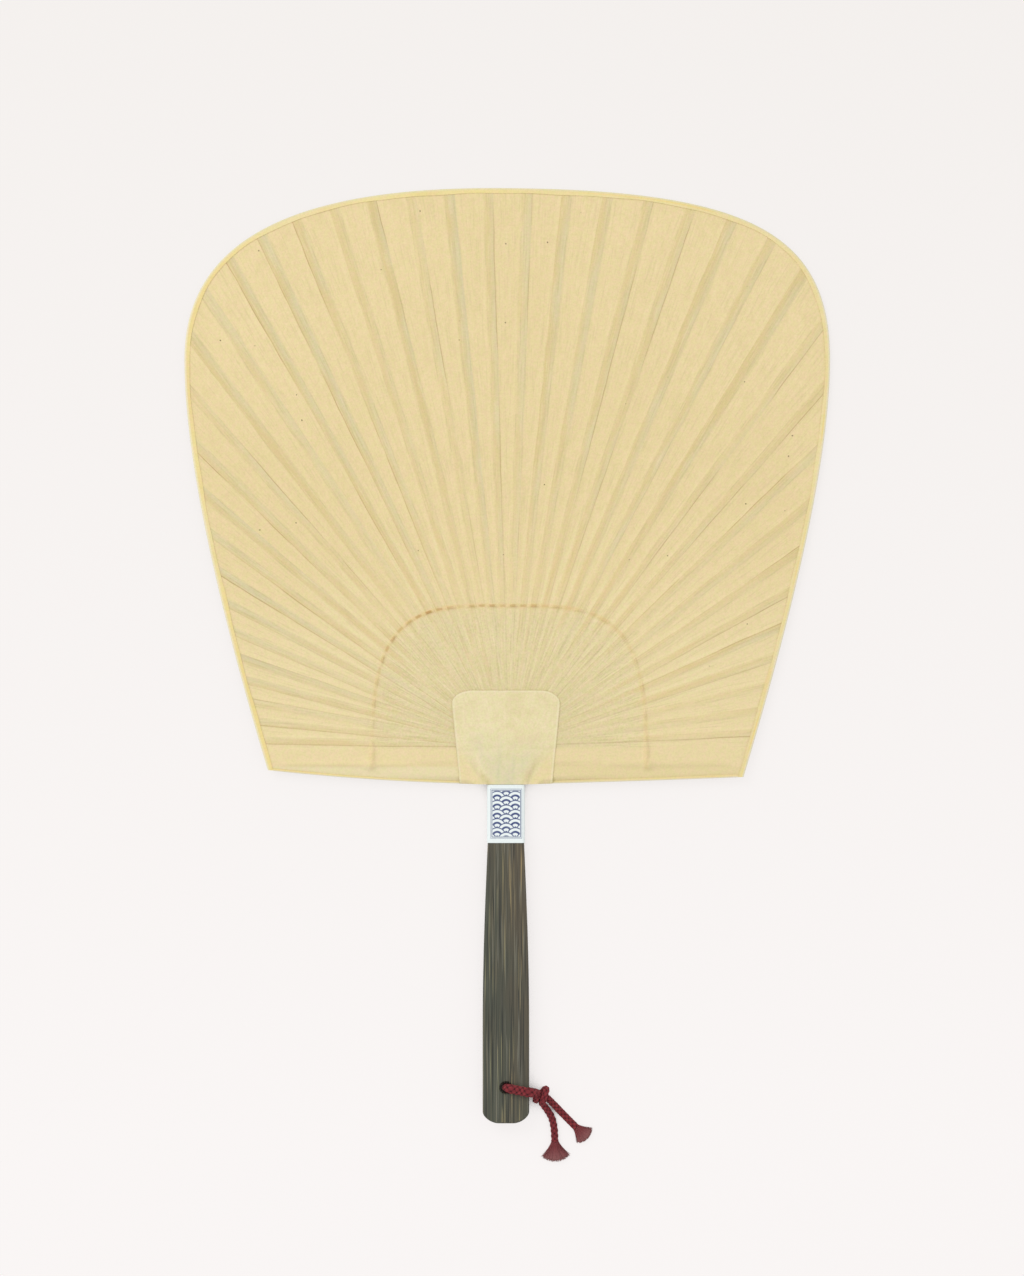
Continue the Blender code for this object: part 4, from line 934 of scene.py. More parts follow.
def grained(place, colour, amount):
    """The colour with the paper's grain: specks pinker or greener, and finer ones darker or lighter."""
    tint, speck = place.noise(560.0, 3.0, 0.7), place.noise(1300.0, 2.0, 0.7)
    for shows, shade in ((tint.rises(0.46, 0.64), (1.035, 0.978, 1.060, 1.0)),
                         (tint.falls(0.36, 0.54), (0.975, 1.012, 0.935, 1.0)),
                         (speck.rises(0.48, 0.66), (1.045, 1.04, 1.05, 1.0)),
                         (speck.falls(0.34, 0.52), (0.945, 0.945, 0.93, 1.0))):
        colour = (amount * shows).mix(colour, shade, "MULTIPLY")
    return colour


# %% The look of washi
def washi_finish():
    """Washi over bamboo: ground, greyer arch, bands with painted shade and light for each rib, stick, string.
    """
    look, place = new_look("washi_over_bamboo", Roughness=0.93, Specular_IOR_Level=0.18)
    colour, fibres = washi_ground(place)
    rib_map, string_map = uv_map(place, "ribs"), uv_map(place, "string")
    coded, along = rib_map.part(0), rib_map.part(1)
    number = coded.math("ROUND", coded)
    offset = (coded - number) * 0.1
    away, string = string_map.part(0) * 0.1, string_map.part(1)

    def chance(seed):
        """A number from 0 to 1 for each rib."""
        return number.node("ShaderNodeTexWhiteNoise", {"noise_dimensions": "1D"}, {"W": number + seed})

    def drift(scale, seed):
        """Noise that changes along each rib and from rib to rib."""
        place_on_rib = along.node("ShaderNodeCombineXYZ", None, {0: along, 1: number * 3.7 + seed})
        return along.node("ShaderNodeTexNoise", {"noise_dimensions": "2D"},
                          {"Vector": place_on_rib, "Scale": scale, "Detail": 2.0})

    # The leaf is paler low down, and greyer inside the arch, most of all near the head.
    height = right_and_up(place, STICK_HEIGHT)[1]
    above_ribs = height.rises(5.5 * MM, 7.5 * MM)
    inside = away.falls(-7 * MM, 5 * MM) * above_ribs
    deep = away.falls(-52 * MM, -18 * MM) * above_ribs
    colour = coated(colour, (0.45 * height.falls(35 * MM, 85 * MM), (236, 220, 173)),
                    (0.75 * inside, (226, 212, 165)), (0.75 * deep, (213, 202, 158)))

    # Each rib has a line of its own, which wavers, a half-width, and a side that it leans to. Most lean to
    # the right, but for those in the left third of the leaf.
    slow, quick, hue = drift(16.0, 0.0), drift(70.0, 5.0), drift(38.0, 11.0)
    half = along.between(8 * MM, 44 * MM, 0.32 * MM, 0.9 * MM)
    half = (half + along.between(56 * MM, 200 * MM, 0.20 * MM, 0.9 * MM)) * (0.92 + 0.18 * chance(4.4))
    far_out, past_arch = along.rises(40 * MM, 120 * MM), away.rises(-10 * MM, 10 * MM)
    lean = chance(9.7) - number.between(8.0, 20.0, 0.62, 0.30)
    low_left, low_right = number.falls(0.2, 0.8), number.rises(39.2, 39.8)
    low_third = number.falls(6.0, 11.0)
    lean = lean.math("SIGN", lean) * (1 - low_left) * (1 - low_right) - low_left + low_right
    moved = offset + ((slow - 0.5) * 1.1 * MM + (quick - 0.5) * 0.5 * MM) * far_out

    # Fibres run along the rib: noise on the offset, drawn out along it.
    strand = offset.node("ShaderNodeCombineXYZ", None, {0: offset, 1: along * 0.035, 2: number * 0.01})
    strand = strand.noise(1700.0, 3.0, 0.6)

    # The band ends crisply on the side that the rib leans to, and fades on the other. Its left half is taupe
    # and its right half grey-green, more so low on the left: painted shade and painted light on the rib's two
    # sides.
    to_side = moved * lean + (strand - 0.5) * 0.35 * MM
    band = (to_side - half).falls(-0.10 * MM, 0.35 * MM) * (to_side + half).rises(-1.10 * MM, 0.90 * MM)
    strength = (0.52 + 0.50 * chance(0.3)) * (0.62 + 0.66 * slow)
    band = band * (strength * along.between(52 * MM, 125 * MM, 0.46, 1.0) + 0.16 * low_third)
    greener = 0.6 * moved / half + 2.6 * (hue - 0.5) + 0.7 * (chance(7.7) - 0.5) + 0.5 * low_third
    grey = greener.rises(-0.6, 0.9).mix(paint(219, 198, 144), paint(217, 205, 162))

    # Beside the band the paper stands off the rib and is a little lighter, a painted highlight, or rusty near
    # the arch.
    glow = (abs(moved) - half).rises(0.2 * MM, 0.9 * MM) * (abs(moved) - half).falls(0.9 * MM, 2.4 * MM)
    near_arch = away.falls(20 * MM, 50 * MM) * away.rises(-22 * MM, -4 * MM)
    rusty = near_arch * chance(6.1).rises(0.35, 0.65) * hue.rises(0.40, 0.60)
    streaky = (0.32 + 0.44 * (1 - past_arch)) * along.rises(6 * MM, 30 * MM) * above_ribs
    colour = coated(colour, (band, grey), (0.42 * band * strand.falls(0.34, 0.46), (201, 184, 133)),
                    (0.36 * band * strand.rises(0.56, 0.68), (232, 216, 168)),
                    (0.25 * glow * slow, (240, 221, 171)),
                    (0.50 * rusty * abs(moved).falls(0.4 * MM, 1.6 * MM), (225, 198, 142)),
                    (0.45 * rusty * glow, (235, 223, 172)),
                    (streaky * strand.falls(0.36, 0.47), (209, 195, 147)),
                    (0.8 * streaky * strand.rises(0.55, 0.66), (236, 222, 176)))

    # A brown line of painted shade follows the band's crisp edge, and a fainter one its other edge.
    edge_line = moved * lean + (strand - 0.5) * 0.16 * MM - half
    edge_shade = slow.rises(0.38, 0.54) * (0.60 + 0.40 * quick.rises(0.35, 0.6)) * chance(2.2).rises(0.15, 0.55)
    edge_shade = edge_shade * along.between(52 * MM, 110 * MM, 0.25, 1.0) + (low_left + low_right) * (0.25 + 0.4 * quick)
    edge_shade = (edge_shade + 0.35 * low_third * quick) * abs(edge_line).falls(0.04 * MM, 0.32 * MM)
    far_line = abs(to_side + half + 0.05 * MM).falls(0.06 * MM, 0.40 * MM) * quick.rises(0.42, 0.62)
    speckle = place.noise(900.0, 3.0, 0.7)
    colour = coated(colour, (0.60 * edge_shade, (182, 154, 104)), (0.45 * far_line * far_out, (203, 190, 141)),
                    (0.26 * inside * speckle.rises(0.50, 0.68), (208, 194, 146)),
                    (0.28 * inside * speckle.falls(0.34, 0.50), (235, 217, 173)))

    # The stick darkens the paper, and below it the paper is plain, paler to the left.
    right = place.part(0)
    shade = abs(height).falls(0.5 * MM, 1.9 * MM) * abs(right).falls(84 * MM, 90 * MM)
    stain = place.stretched((0.3, 1.0, 1.0)).noise(90.0, 3.0)
    under = (height + 1.0 * MM).falls(-0.6 * MM, 0.6 * MM)
    paler = right.between(-30 * MM, 30 * MM, 0.0, 1.0).mix(paint(232, 219, 175), paint(228, 211, 160))

    # The string shows as a dash over each rib with a stain round it, most of all along the arch's top.
    top_share = height.between(37.1 * MM, 56.1 * MM, 0.25, 1.0)
    stained = place.noise(60.0, 2.0).rises(0.30, 0.65) * right.between(-35 * MM, 30 * MM, 1.0, 0.35)
    crossing = abs(string).rises(0.30, 0.72) * (0.86 + 0.14 * string.rises(-0.2, 0.2))
    ragged = abs(away) + (place.noise(500.0, 2.0) - 0.5) * 0.5 * MM
    dash = ragged.falls(0.25 * MM, 0.75 * MM) * crossing * stained * top_share
    halo = ragged.falls(0.3 * MM, 1.5 * MM) * (0.45 + 0.55 * top_share)
    halo = halo * place.noise(90.0, 2.0).rises(0.25, 0.6)
    above_stick = height.rises(-3 * MM, -1 * MM)
    colour = coated(colour, (0.30 * shade * stain.rises(0.3, 0.7), (206, 190, 140)),
                    (0.80 * under * stain.rises(0.15, 0.45), paler),
                    (0.50 * halo * above_stick, (226, 194, 134)),
                    (0.85 * dash * above_stick * (1 - 0.7 * low_left - 0.7 * low_right), (186, 146, 86)))
    colour = grained(place, colour, 0.72 + 0.22 * inside)
    return finished(look, fibres, strength=0.6, Base_Color=colour)


washi_look = washi_finish()

# %% Front and back papers
for face, word in ((1, "front"), (-1, "back")):
    height = paper_height(plan[..., 0], plan[..., 1], face)
    sheet_piece(f"{word}_paper_washi", np.dstack([plan, face * height]),
                np.dstack([plan, face * (height - PAPER_THICKNESS)]), washi_look,
                f"{word}_paper", paper_maps(plan, face))

# %% [markdown]
# ## Strips folded round the edge
#
# A narrow strip of yellow paper is folded over the leaf's edge and pasted down on both sides. Across, it is a
# flat lip, a round fold and another lip. Along, it follows the edge, and its cut lip wanders a little, as a
# strip pasted by hand does.


# %% A folded strip
STRIP_THICKNESS = 0.13 * MM
STRIP_GAP = 0.20 * MM


def on_paper(place, face):
    return paper_height(place[:, 0], place[:, 1], face)


def folded_strip(node, line, inward, width, look, wander, bevel):
    """A strip along a line: its distance inwards and its height are worked out across, from lip to lip.

    Past the fold the strip lies on the paper. On the fold it is half an ellipse between the two heights.
    bevel moves the lip along the line at the start and at the end, so that the ends are cut aslant.
    """
    along = lengths_along(line)
    sway = wander * (np.sin(along / (9 * MM)) + 0.6 * np.sin(along / (3.7 * MM) + 1.3))
    depth = width + sway * smoothstep(np.minimum(along, along[-1] - along) / (8 * MM))
    fold = min(0.8 * MM, 0.5 * width)
    lip = np.array([1.0, 0.85, 0.6, 0.3])
    slant = np.zeros(len(line))
    slant[0], slant[-1] = bevel
    slant = unit_tangent(line) * slant[:, None]

    def across(thin):
        """One face of the strip, thin metres inside its outer face."""

        def inset_by(inset):
            inset = np.broadcast_to(inset, len(line))[:, None]
            return line + (inward + slant) * inset

        def flat(face, share):
            place = inset_by(fold + (depth - fold) * share)
            return np.column_stack([place, face * (on_paper(place, face) + STRIP_GAP - thin)])

        top = np.maximum(on_paper(inset_by(fold), 1), on_paper(inset_by(fold), -1)) + STRIP_GAP - thin
        folds = [np.column_stack([inset_by(fold - (fold - thin) * math.sin(angle)), top * math.cos(angle)])
                 for angle in np.linspace(0.0, math.pi, 11)]
        front, back = [flat(1, share) for share in lip], [flat(-1, share) for share in lip[::-1]]
        return np.array(front + folds + back).transpose(1, 0, 2)

    outer, inner = across(0.0), across(STRIP_THICKNESS)
    share = np.linspace(-1.0, 1.0, outer.shape[1])[None]
    chart = np.dstack(np.broadcast_arrays(along[:, None], share))
    return sheet_piece(f"{node}_folded", outer, inner, look, node,
                       {"strip": sheet_corners(chart)})


# %% The look of the yellow strips
def strip_finish():
    """Dyed paper: a stronger yellow than the leaf, uneven along it, paler on the fold, painted shade at the
    lip.
    """
    look, place = new_look("yellow_strip_paper", Roughness=0.88, Specular_IOR_Level=0.2)
    across = abs(uv_map(place, "strip").part(1))
    clouds, fibres = place.noise(45.0, 3.0, 0.6), place.noise(1400.0, 3.0, 0.65)
    to_right, top = place.part(0).rises(-40 * MM, 110 * MM), place.part(1).rises(125 * MM, 175 * MM)
    pale = (place.noise(14.0, 2.0, 0.6) + 0.2 * to_right).rises(0.40, 0.66)
    vivid = to_right * place.noise(24.0, 2.0).rises(0.44, 0.56) * abs(across - 0.56).falls(0.04, 0.20)
    fold_tone = top.mix(paint(236, 227, 194), paint(224, 215, 172))
    colour = coated(pale.mix(paint(239, 219, 151), paint(236, 220, 166)),
                    (0.45 * place.noise(33.0, 2.0).rises(0.52, 0.66), (236, 208, 144)),
                    (0.70 * vivid, (241, 210, 116)), (0.35 * clouds.rises(0.4, 0.7), (229, 207, 141)),
                    (0.30 * fibres.rises(0.4, 0.8), (222, 201, 136)),
                    (0.85 * across.falls(0.34, 0.66), fold_tone),
                    # painted shade along the cut lip, where the strip steps down onto the leaf
                    (0.50 * across.rises(0.86, 0.99) * clouds.rises(0.30, 0.6), (212, 190, 140)))
    return finished(look, fibres + 0.5 * clouds, strength=0.7, Base_Color=grained(place, colour, 0.70))


strip_look = strip_finish()

# %% Edge strip and foot strips
STRIP_WIDTH = 2.1 * MM
FOOT_STRIP_WIDTH = {-1: 0.95 * MM, 1: 1.2 * MM}
CORNER_GAP = 2.28 * MM

# The edge strip is cut along the leaf's foot, and each foot strip stops short of it by a hair.
edge_line = even_steps(edge, 1.3 * MM)
folded_strip("edge_strip", edge_line, square_inwards(edge_line), STRIP_WIDTH, strip_look, 0.17 * MM,
             (-0.35, 0.33))
for sign, word in ((-1, "left"), (1, "right")):
    strip_x = np.linspace(sign * 8.6 * MM, sign * (FOOT_X[sign] - CORNER_GAP), 60)
    foot = np.column_stack([strip_x, foot_line(strip_x)])
    folded_strip(f"foot_strip_{word}", foot, np.array([[0.0, 1.0]]), FOOT_STRIP_WIDTH[sign], strip_look,
                 0.06 * MM, (0.0, 0.30))

# %% [markdown]
# ## Patches over the head
#
# Where the ribs leave the handle, a patch of paler paper hides the split. It is cut straight at the sides,
# rounded at its upper corners, and pasted down over the leaf, so it takes the shape of the paper below it and
# is creased on both sides of the handle.


# %% Patches
PATCH_HEIGHT = 37.2 * MM
PATCH_TOP, PATCH_FOOT = 22.0 * MM, 18.4 * MM
PATCH_CORNER = (8.6 * MM, 5.8 * MM)
PATCH_THICKNESS = 0.10 * MM


def patch_plan(rows=70, columns=90):
    """Points of the patch: straight leaning sides, and a top whose corners are quarter ellipses."""
    across = np.linspace(-1.0, 1.0, columns)[None]
    up = np.linspace(0.0, 1.0, rows)[:, None]
    bend = np.clip((np.abs(across) * PATCH_TOP - PATCH_TOP + PATCH_CORNER[0]) / PATCH_CORNER[0], 0.0, 1.0)
    top = PATCH_HEIGHT - PATCH_CORNER[1] * (1 - np.sqrt(1 - bend**2 * 0.9999))
    x = across * (PATCH_FOOT + (PATCH_TOP - PATCH_FOOT) * up * top / PATCH_HEIGHT)
    foot = foot_line(x) - 0.05 * MM
    cut = 0.04 * MM * np.sin(across * 19) * up
    return np.dstack([x, foot + (top + cut - foot) * up])


def patch_height(patch, face):
    """The tallest paper within nine tenths of a millimetre, because the patch spans the small dips.

    Beside the neck the patch also lies over the foot strips.
    """
    x, y = patch[..., 0], patch[..., 1]
    angle = np.linspace(0.0, 2 * math.pi, 12, endpoint=False)
    ring = np.stack([np.cos(angle), np.sin(angle)], axis=1)
    steps = 0.9 * MM * np.vstack([[(0, 0)], ring * 0.5, ring])
    tall = np.max([paper_height(x + dx, y + dy, face) for dx, dy in steps], axis=0)
    over_strip = (y < foot_line(x) + 2.2 * MM) & (np.abs(x) > 7 * MM)
    return tall + 0.09 * MM + 0.20 * MM * over_strip


# %% The look of the patches
def patch_finish():
    """Patch paper: paler than the leaf, greyer over the dark handle, painted shade in its creases and at its
    edge.
    """
    look, place = new_look("patch_washi", Roughness=0.93, Specular_IOR_Level=0.18)
    clouds, lumps = place.noise(30.0, 3.0, 0.6), place.noise(170.0, 3.0, 0.65)
    fibres = place.stretched((1.0, 0.4, 1.0)).noise(1000.0, 4.0, 0.7)
    stroke = place.stretched((1.0, 0.12, 1.0)).noise(420.0, 2.0)
    x, y = right_and_up(place, 0.0)
    # The creases lean out from the handle's sides, six parts across for ten up.
    spread = abs(x) - 7.0 * MM - 0.62 * y
    low = (y + (clouds - 0.5) * 14 * MM).falls(0.0, 25 * MM)
    over_handle = (spread + (lumps - 0.5) * 4 * MM).falls(-6.5 * MM, 0.5 * MM) * low
    beside = spread.rises(0.8 * MM, 3.5 * MM) * y.falls(5 * MM, 19 * MM)
    bent = spread + (lumps - 0.5) * 2.4 * MM + (clouds - 0.5) * 5 * MM
    crease = abs(bent).falls(0.0, 2.6 * MM) * y.falls(3 * MM, 16 * MM)
    # The rib ends show through faintly, as rays from a point under the patch.
    bearing = x.math("ARCTAN2", x, y + 8.0 * MM)
    rays = bearing.node("ShaderNodeTexNoise", {"noise_dimensions": "1D"},
                        {"W": bearing * 14.0, "Scale": 2.0, "Detail": 3.0})
    rim = uv_map(place, "rim").part(0)
    colour = coated(clouds.rises(0.3, 0.7).mix(paint(237, 225, 181), paint(233, 220, 173)),
                    (0.30 * fibres.rises(0.35, 0.75), (219, 204, 157)),
                    (0.40 * lumps.rises(0.48, 0.66), (222, 207, 160)),
                    (0.35 * lumps.falls(0.36, 0.50), (240, 227, 186)),
                    (0.66 * over_handle, (216, 209, 170)), (0.60 * beside, (233, 213, 160)),
                    (0.32 * over_handle * stroke.rises(0.45, 0.65), (206, 205, 172)),
                    # painted shade in the creases, where the patch tents down from the head
                    (0.55 * crease * place.noise(260.0, 2.0).rises(0.10, 0.65), (206, 191, 140)),
                    (0.12 * rays.rises(0.42, 0.62) * y.rises(8 * MM, 16 * MM), (217, 204, 158)),
                    # a lighter band just inside the cut edge, and at the edge itself a thin line of painted
                    # shade
                    (0.60 * rim.falls(0.55 * MM, 1.10 * MM), (238, 227, 190)),
                    (0.55 * rim.falls(0.10 * MM, 0.45 * MM), (206, 188, 136)))
    return finished(look, fibres + 0.1 * rays, strength=0.7, Base_Color=grained(place, colour, 0.80))


# %% Front and back patches
patch_look = patch_finish()
patch = patch_plan()

# How far each point is from the patch's cut sides and top. At the foot the patch ends with the leaf.
from_side = (1 - np.linspace(-1, 1, patch.shape[1]) ** 2)[None] * PATCH_FOOT / 2
from_top = patch[-1:, :, 1] - patch[..., 1]
from_rim = np.dstack([np.minimum(from_side, from_top), 0 * from_top])

for face, word in ((1, "front"), (-1, "back")):
    lift = patch_height(patch, face)
    sheet_piece(f"{word}_patch_washi", np.dstack([patch, face * (lift + PATCH_THICKNESS)]),
                np.dstack([patch, face * lift]), patch_look, f"{word}_patch",
                {"rim": sheet_corners(from_rim)})

# %% [markdown]
# ## The label band
#
# A strip of pale paper goes once round the neck of the handle and is pasted over its own end at the back. It
# is printed in blue with waves, an old pattern of rings in rows where each row covers part of the one above.

# %% Label band
LABEL_LENGTH = 23.2 * MM
LABEL_HALF_WIDTH, LABEL_HALF_DEPTH, LABEL_ROUND = 7.36 * MM, 2.44 * MM, 0.95 * MM
LABEL_THICKNESS, LABEL_OVERLAP = 0.11 * MM, 4.0 * MM
LABEL_ROWS, LABEL_COLUMNS = 24, 130


def band_path(grow):
    """Plan of the band: once round a rounded rectangle from the middle of its back, and on by the overlap.

    Near its end the band steps out by its own thickness and a little more, because it lies on its other end.
    """
    w, d, r = LABEL_HALF_WIDTH + grow, LABEL_HALF_DEPTH + grow, LABEL_ROUND + grow
    a = np.linspace(0.0, math.pi / 2, 8)
    line = [np.array([[0.0, -d]])]
    for sx, sy, first in ((1, -1, -math.pi / 2), (1, 1, 0.0), (-1, 1, math.pi / 2), (-1, -1, math.pi)):
        line.append(np.stack([sx * (w - r) + r * np.cos(first + a), sy * (d - r) + r * np.sin(first + a)]).T)
    ring = even_steps(np.vstack([*line, [(0.0, -d), (LABEL_OVERLAP, -d)]]), 0.35 * MM)
    share = np.linspace(0.0, 1.0, len(ring))
    ring[:, 1] -= LABEL_THICKNESS * 1.25 * smoothstep((share - 0.86) / 0.05) * (ring[:, 1] < 0)
    return even_points(ring, LABEL_COLUMNS)


def label_grids():
    """The band's two grids, and its chart: how far round from the front's middle, and how far up."""
    up = np.linspace(-0.15 * MM, -LABEL_LENGTH, LABEL_ROWS)[:, None]
    rings = [band_path(LABEL_THICKNESS), band_path(0.0)]
    outer, inner = (np.dstack(np.broadcast_arrays(ring[None, :, 0], up, ring[None, :, 1])) for ring in rings)
    run = lengths_along(rings[0])
    front = run[np.argmin(np.abs(rings[0][:, 0]) + (rings[0][:, 1] < 0))]
    return outer, inner, np.dstack(np.broadcast_arrays((run - front)[None], up))


# %% Waves printed in blue
PANEL_HALF_WIDTH, PANEL_HALF_HEIGHT = 5.4 * MM, 9.0 * MM
WAVE_RADIUS = 3.6 * MM


def wave_rings(x, y, radius):
    """Rows of rings half a radius apart, every other row shifted by a radius.

    For each of the three rows that can reach a point, the nearest centre is found by rounding, and the lowest
    ring over the point shows. Returns the distance from that centre as a share of the radius.
    """
    row = (y / radius * 2).math("CEIL", y / radius * 2 - 2.0)
    shown = None
    for k in (2, 1, 0):
        here = row + float(k)
        odd = here.math("PINGPONG", here, 1.0)
        column = (x / radius - odd) * 0.5
        reach = (x / radius - odd - 2.0 * column.math("ROUND", column)).hypot(y / radius - here * 0.5)
        covers = reach.math("LESS_THAN", reach, 1.0)
        shown = reach if shown is None else shown + covers * (reach - shown)
    return shown


def label_finish():
    """Pale blue-white paper with a printed panel of waves inside a double line."""
    look, place = new_look("label_print", Roughness=0.75, Specular_IOR_Level=0.25)
    chart = uv_map(place, "print")
    x, y = chart.part(0), chart.part(1) + LABEL_LENGTH / 2
    fibres = place.noise(1500.0, 3.0, 0.6)
    reach = wave_rings(x, y, WAVE_RADIUS)
    rings = (reach.math("PINGPONG", reach * 2.0, 0.5) * 2.0).falls(0.36, 0.54)
    beyond = abs(x) - PANEL_HALF_WIDTH
    beyond = beyond.math("MAXIMUM", beyond, abs(y) - PANEL_HALF_HEIGHT)
    ink = rings * beyond.falls(-0.05 * MM, 0.02 * MM) + abs(beyond - 0.25 * MM).falls(0.10 * MM, 0.17 * MM)
    ink = ink + abs(beyond - 0.75 * MM).falls(0.04 * MM, 0.10 * MM)
    ink = ink.math("MINIMUM", ink, 1.0) * (0.78 + 0.3 * place.noise(700.0, 2.0))
    paper = fibres.rises(0.3, 0.8).mix(paint(241, 248, 247), paint(233, 242, 241))
    return finished(look, fibres, depth=0.03 * MM, strength=0.5,
                    Base_Color=coated(paper, (ink, (46, 64, 122))))


outer, inner, chart = label_grids()
sheet_piece("label_band_printed", outer, inner, label_finish(), "label_band",
            {"print": sheet_corners(chart)}, flat=50.0)

# %% [markdown]
# ## Bamboo and thread
#
# The handle is right as it is in the frame and only needs its look: bamboo darkened by smoke, with fine
# ochre fibres that run its whole length. Stretching a noise along the handle makes fibres. The ribs and the
# stick are pale bamboo under the paper, and the string is waxed thread.


# %% Smoked bamboo
def smoked_bamboo():
    """Smoked bamboo: dark, browner to the right and up, with grooves, pale bundles and a few ochre fibres."""
    look, place = new_look("smoked_bamboo_grain", Specular_IOR_Level=0.35)

    def fibres(scale, stretch, seed):
        """Noise drawn out along the handle."""
        return place.stretched((1.0, stretch, 1.0), (seed, 0.0, 0.7 * seed)).noise(scale, 1.0, 0.55)

    fine, bundle = fibres(2300.0, 0.0045, 0.0), fibres(1500.0, 0.006, 0.3)
    groove, rare = fibres(1900.0, 0.0045, 0.6), fibres(2000.0, 0.007, 0.9)
    cloud = place.stretched((1.0, 0.22, 1.0)).noise(80.0, 3.0, 0.6)
    x, y = right_and_up(place, HOLE_HEIGHT)
    browner = (cloud + x * 9.0 + y * 3.0 - 0.18).rises(0.25, 0.75)
    # Round the hole the bamboo is darkened, partly grime and partly painted shade of the hole's rim.
    hole_grime_and_shade = (x.hypot(y) + (fine - 0.5) * 1.5 * MM).falls(2.1 * MM, 2.9 * MM)
    colour = coated(browner.mix(paint(74, 77, 65), paint(86, 78, 64)),
                    (0.80 * groove.falls(0.36, 0.46), (44, 45, 41)),
                    (0.55 * bundle.rises(0.54, 0.64) * fine.rises(0.40, 0.58), (122, 112, 88)),
                    (0.70 * fine.rises(0.58, 0.68), (122, 120, 106)),
                    (0.80 * rare.rises(0.64, 0.71), browner.mix(paint(136, 132, 100), paint(160, 140, 100))),
                    (0.6 * hole_grime_and_shade, (30, 28, 26)))
    return finished(look, fine + 0.8 * groove, depth=0.10 * MM, strength=0.8, Base_Color=colour,
                    Roughness=0.46 + 0.16 * fine)


# %% Pale bamboo and thread
def pale_bamboo():
    look, place = new_look("pale_bamboo_grain", Specular_IOR_Level=0.3)
    grain = place.noise(700.0, 3.0, 0.6)
    colour = grain.rises(0.3, 0.7).mix(paint(196, 172, 122), paint(170, 144, 96))
    return finished(look, grain, Base_Color=colour, Roughness=0.5 + 0.2 * grain)


def waxed_thread():
    look, place = new_look("waxed_thread", Roughness=0.8)
    twist = place.noise(1800.0, 2.0, 0.6)
    colour = twist.rises(0.3, 0.7).mix(paint(176, 138, 84), paint(140, 104, 60))
    return finished(look, twist, depth=0.08 * MM, Base_Color=colour)


bamboo_look, rib_look, string_look = smoked_bamboo(), pale_bamboo(), waxed_thread()
for name, piece in frame["nodes"].items():
    if name == "handle":
        piece.data.materials[0] = bamboo_look
    elif name.startswith("rib_") or name == "cross_stick":
        piece.data.materials[0] = rib_look
    elif name == "weaving_string":
        piece.data.materials[0] = string_look

# %% [markdown]
# ## Table and light
#
# The fan is photographed on white under soft, even light. The table is a plain pale sheet. For the camera it
# glows at the photograph's own near-white, mixed with its lit surface, so that a soft shadow stays. Light
# comes from all round, with a large soft lamp at the upper left to draw the dips in the paper.

# %% Table
BACKDROP_LOW, BACKDROP_HIGH = paint(251, 247, 246), paint(243, 239, 236)
TABLE_HALF_WIDTH = 6.0
TABLE_HEIGHT = -0.05 * MM


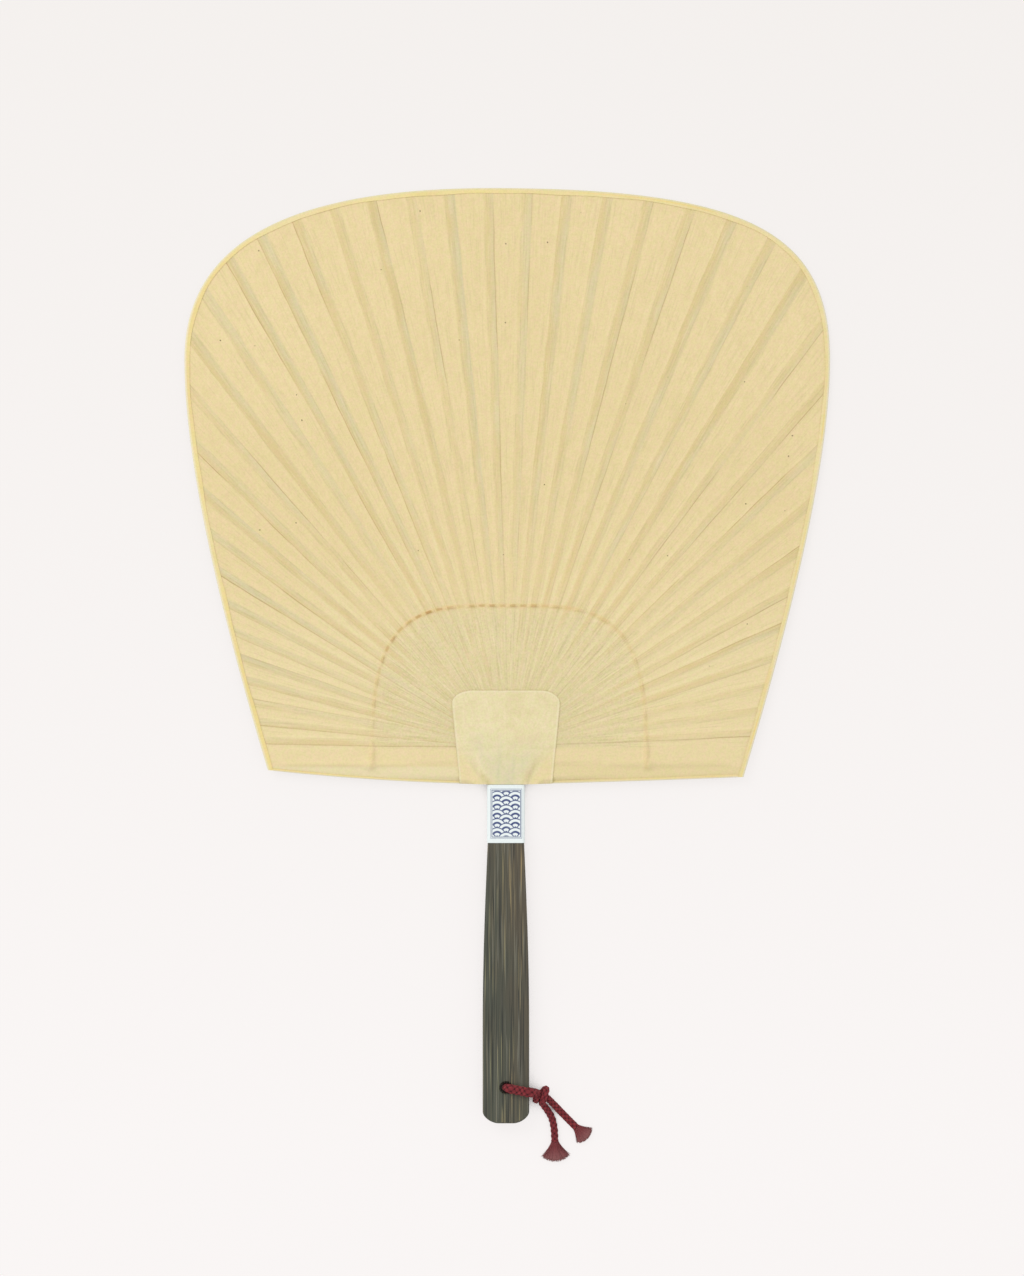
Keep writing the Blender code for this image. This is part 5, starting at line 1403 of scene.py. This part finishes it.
def table_finish():
    """A pale sheet that glows for the camera; where the fan keeps the light from it, a painted shadow."""
    made = bpy.data.materials.new("pale_table")
    made.use_nodes = True
    tree = made.node_tree
    tree.nodes.clear()
    place = Wire(tree, tree.nodes.new("ShaderNodeTexCoord").outputs["Object"])
    path = tree.nodes.new("ShaderNodeLightPath")
    # Under the fan, where little of the sky is in sight within 14 mm, the glow goes out and a painted shadow
    # darkens the sheet.
    near = {"Distance": 14 * MM}
    open_sky = place.node("ShaderNodeAmbientOcclusion", {"samples": 6}, near, "AO").rises(0.12, 0.42)
    # Straight under the hole too, which the cord all but fills: a painted shadow spot.
    x, y = right_and_up(place, HOLE_HEIGHT)
    open_sky = open_sky * x.hypot(y).rises(2.5 * MM, 4.5 * MM)
    # Where the sky is hidden the sheet's own colour falls to a dark brown: painted shadow.
    sheet = open_sky.mix((0.20, 0.19, 0.17, 1.0), (0.90, 0.88, 0.87, 1.0))
    lit = place.node("ShaderNodeBsdfDiffuse", None, {"Color": sheet})
    colour = place.part(1).between(-0.19, 0.31, 0.0, 1.0).mix(BACKDROP_LOW, BACKDROP_HIGH)
    glow = place.node("ShaderNodeEmission", None, {"Color": colour, "Strength": 1.0})
    seen = Wire(tree, path.outputs["Is Camera Ray"])
    for ray in ("Is Glossy Ray", "Is Transmission Ray"):
        seen = seen.math("MAXIMUM", seen, Wire(tree, path.outputs[ray]))
    shown = place.node("ShaderNodeMixShader", None, {0: 0.86 * seen * open_sky, 1: lit, 2: glow})
    tree.links.new(shown.socket, tree.nodes.new("ShaderNodeOutputMaterial").inputs["Surface"])
    return made


table_mesh = bpy.data.meshes.new("table")
table_corners = [(TABLE_HALF_WIDTH * a, TABLE_HALF_WIDTH * b, TABLE_HEIGHT)
                 for a, b in ((-1, -1), (1, -1), (1, 1), (-1, 1))]
table_mesh.from_pydata(table_corners, [], [(0, 1, 2, 3)])
table_mesh.materials.append(table_finish())
table = bpy.data.objects.new("table", table_mesh)
scene.collection.objects.link(table)

# %% Light
WORLD_STRENGTH = 0.80
WHITE = (1.0, 1.0, 1.0, 1.0)

world = bpy.data.worlds.new("studio")
scene.world = world
world.use_nodes = True
tree = world.node_tree
tree.nodes.clear()
seen = Wire(tree, tree.nodes.new("ShaderNodeLightPath").outputs["Is Camera Ray"])
around = seen.node("ShaderNodeBackground", None, {"Color": WHITE, "Strength": WORLD_STRENGTH})
shown = seen.node("ShaderNodeBackground", None, {"Color": BACKDROP_HIGH, "Strength": 1.0})
both = seen.node("ShaderNodeMixShader", None, {0: seen, 1: around, 2: shown})
tree.links.new(both.socket, tree.nodes.new("ShaderNodeOutputWorld").inputs["Surface"])


def soft_lamp(name, place, size, power):
    """A square lamp that looks at the middle of the leaf."""
    lamp = bpy.data.objects.new(name, bpy.data.lights.new(name, "AREA"))
    lamp.data.shape = "SQUARE"
    lamp.data.size = size
    lamp.data.energy = power
    place = np.array(place)
    away = place - in_room((0.0, 60 * MM, 0.0))
    distance = np.linalg.norm(away)
    back = away / distance
    right = np.cross((0.0, 1.0, 0.0), back)
    right /= np.linalg.norm(right)
    facing = Matrix(np.stack([right, np.cross(back, right), back], axis=1).tolist()).to_4x4()
    lamp.matrix_world = Matrix.Translation(place.tolist()) @ facing
    scene.collection.objects.link(lamp)
    # A lamp lights a level white sheet by power x slant / (pi distance^2), and pi is fully white.
    print(name, "gives", round(power * back[2] / (math.pi * distance**2) / math.pi, 2), "of full light")


soft_lamp("window_lamp", (-0.9, 1.0, 1.5), 1.0, 11.5)

# %% Close the scene
scene.view_settings.view_transform = "Standard"
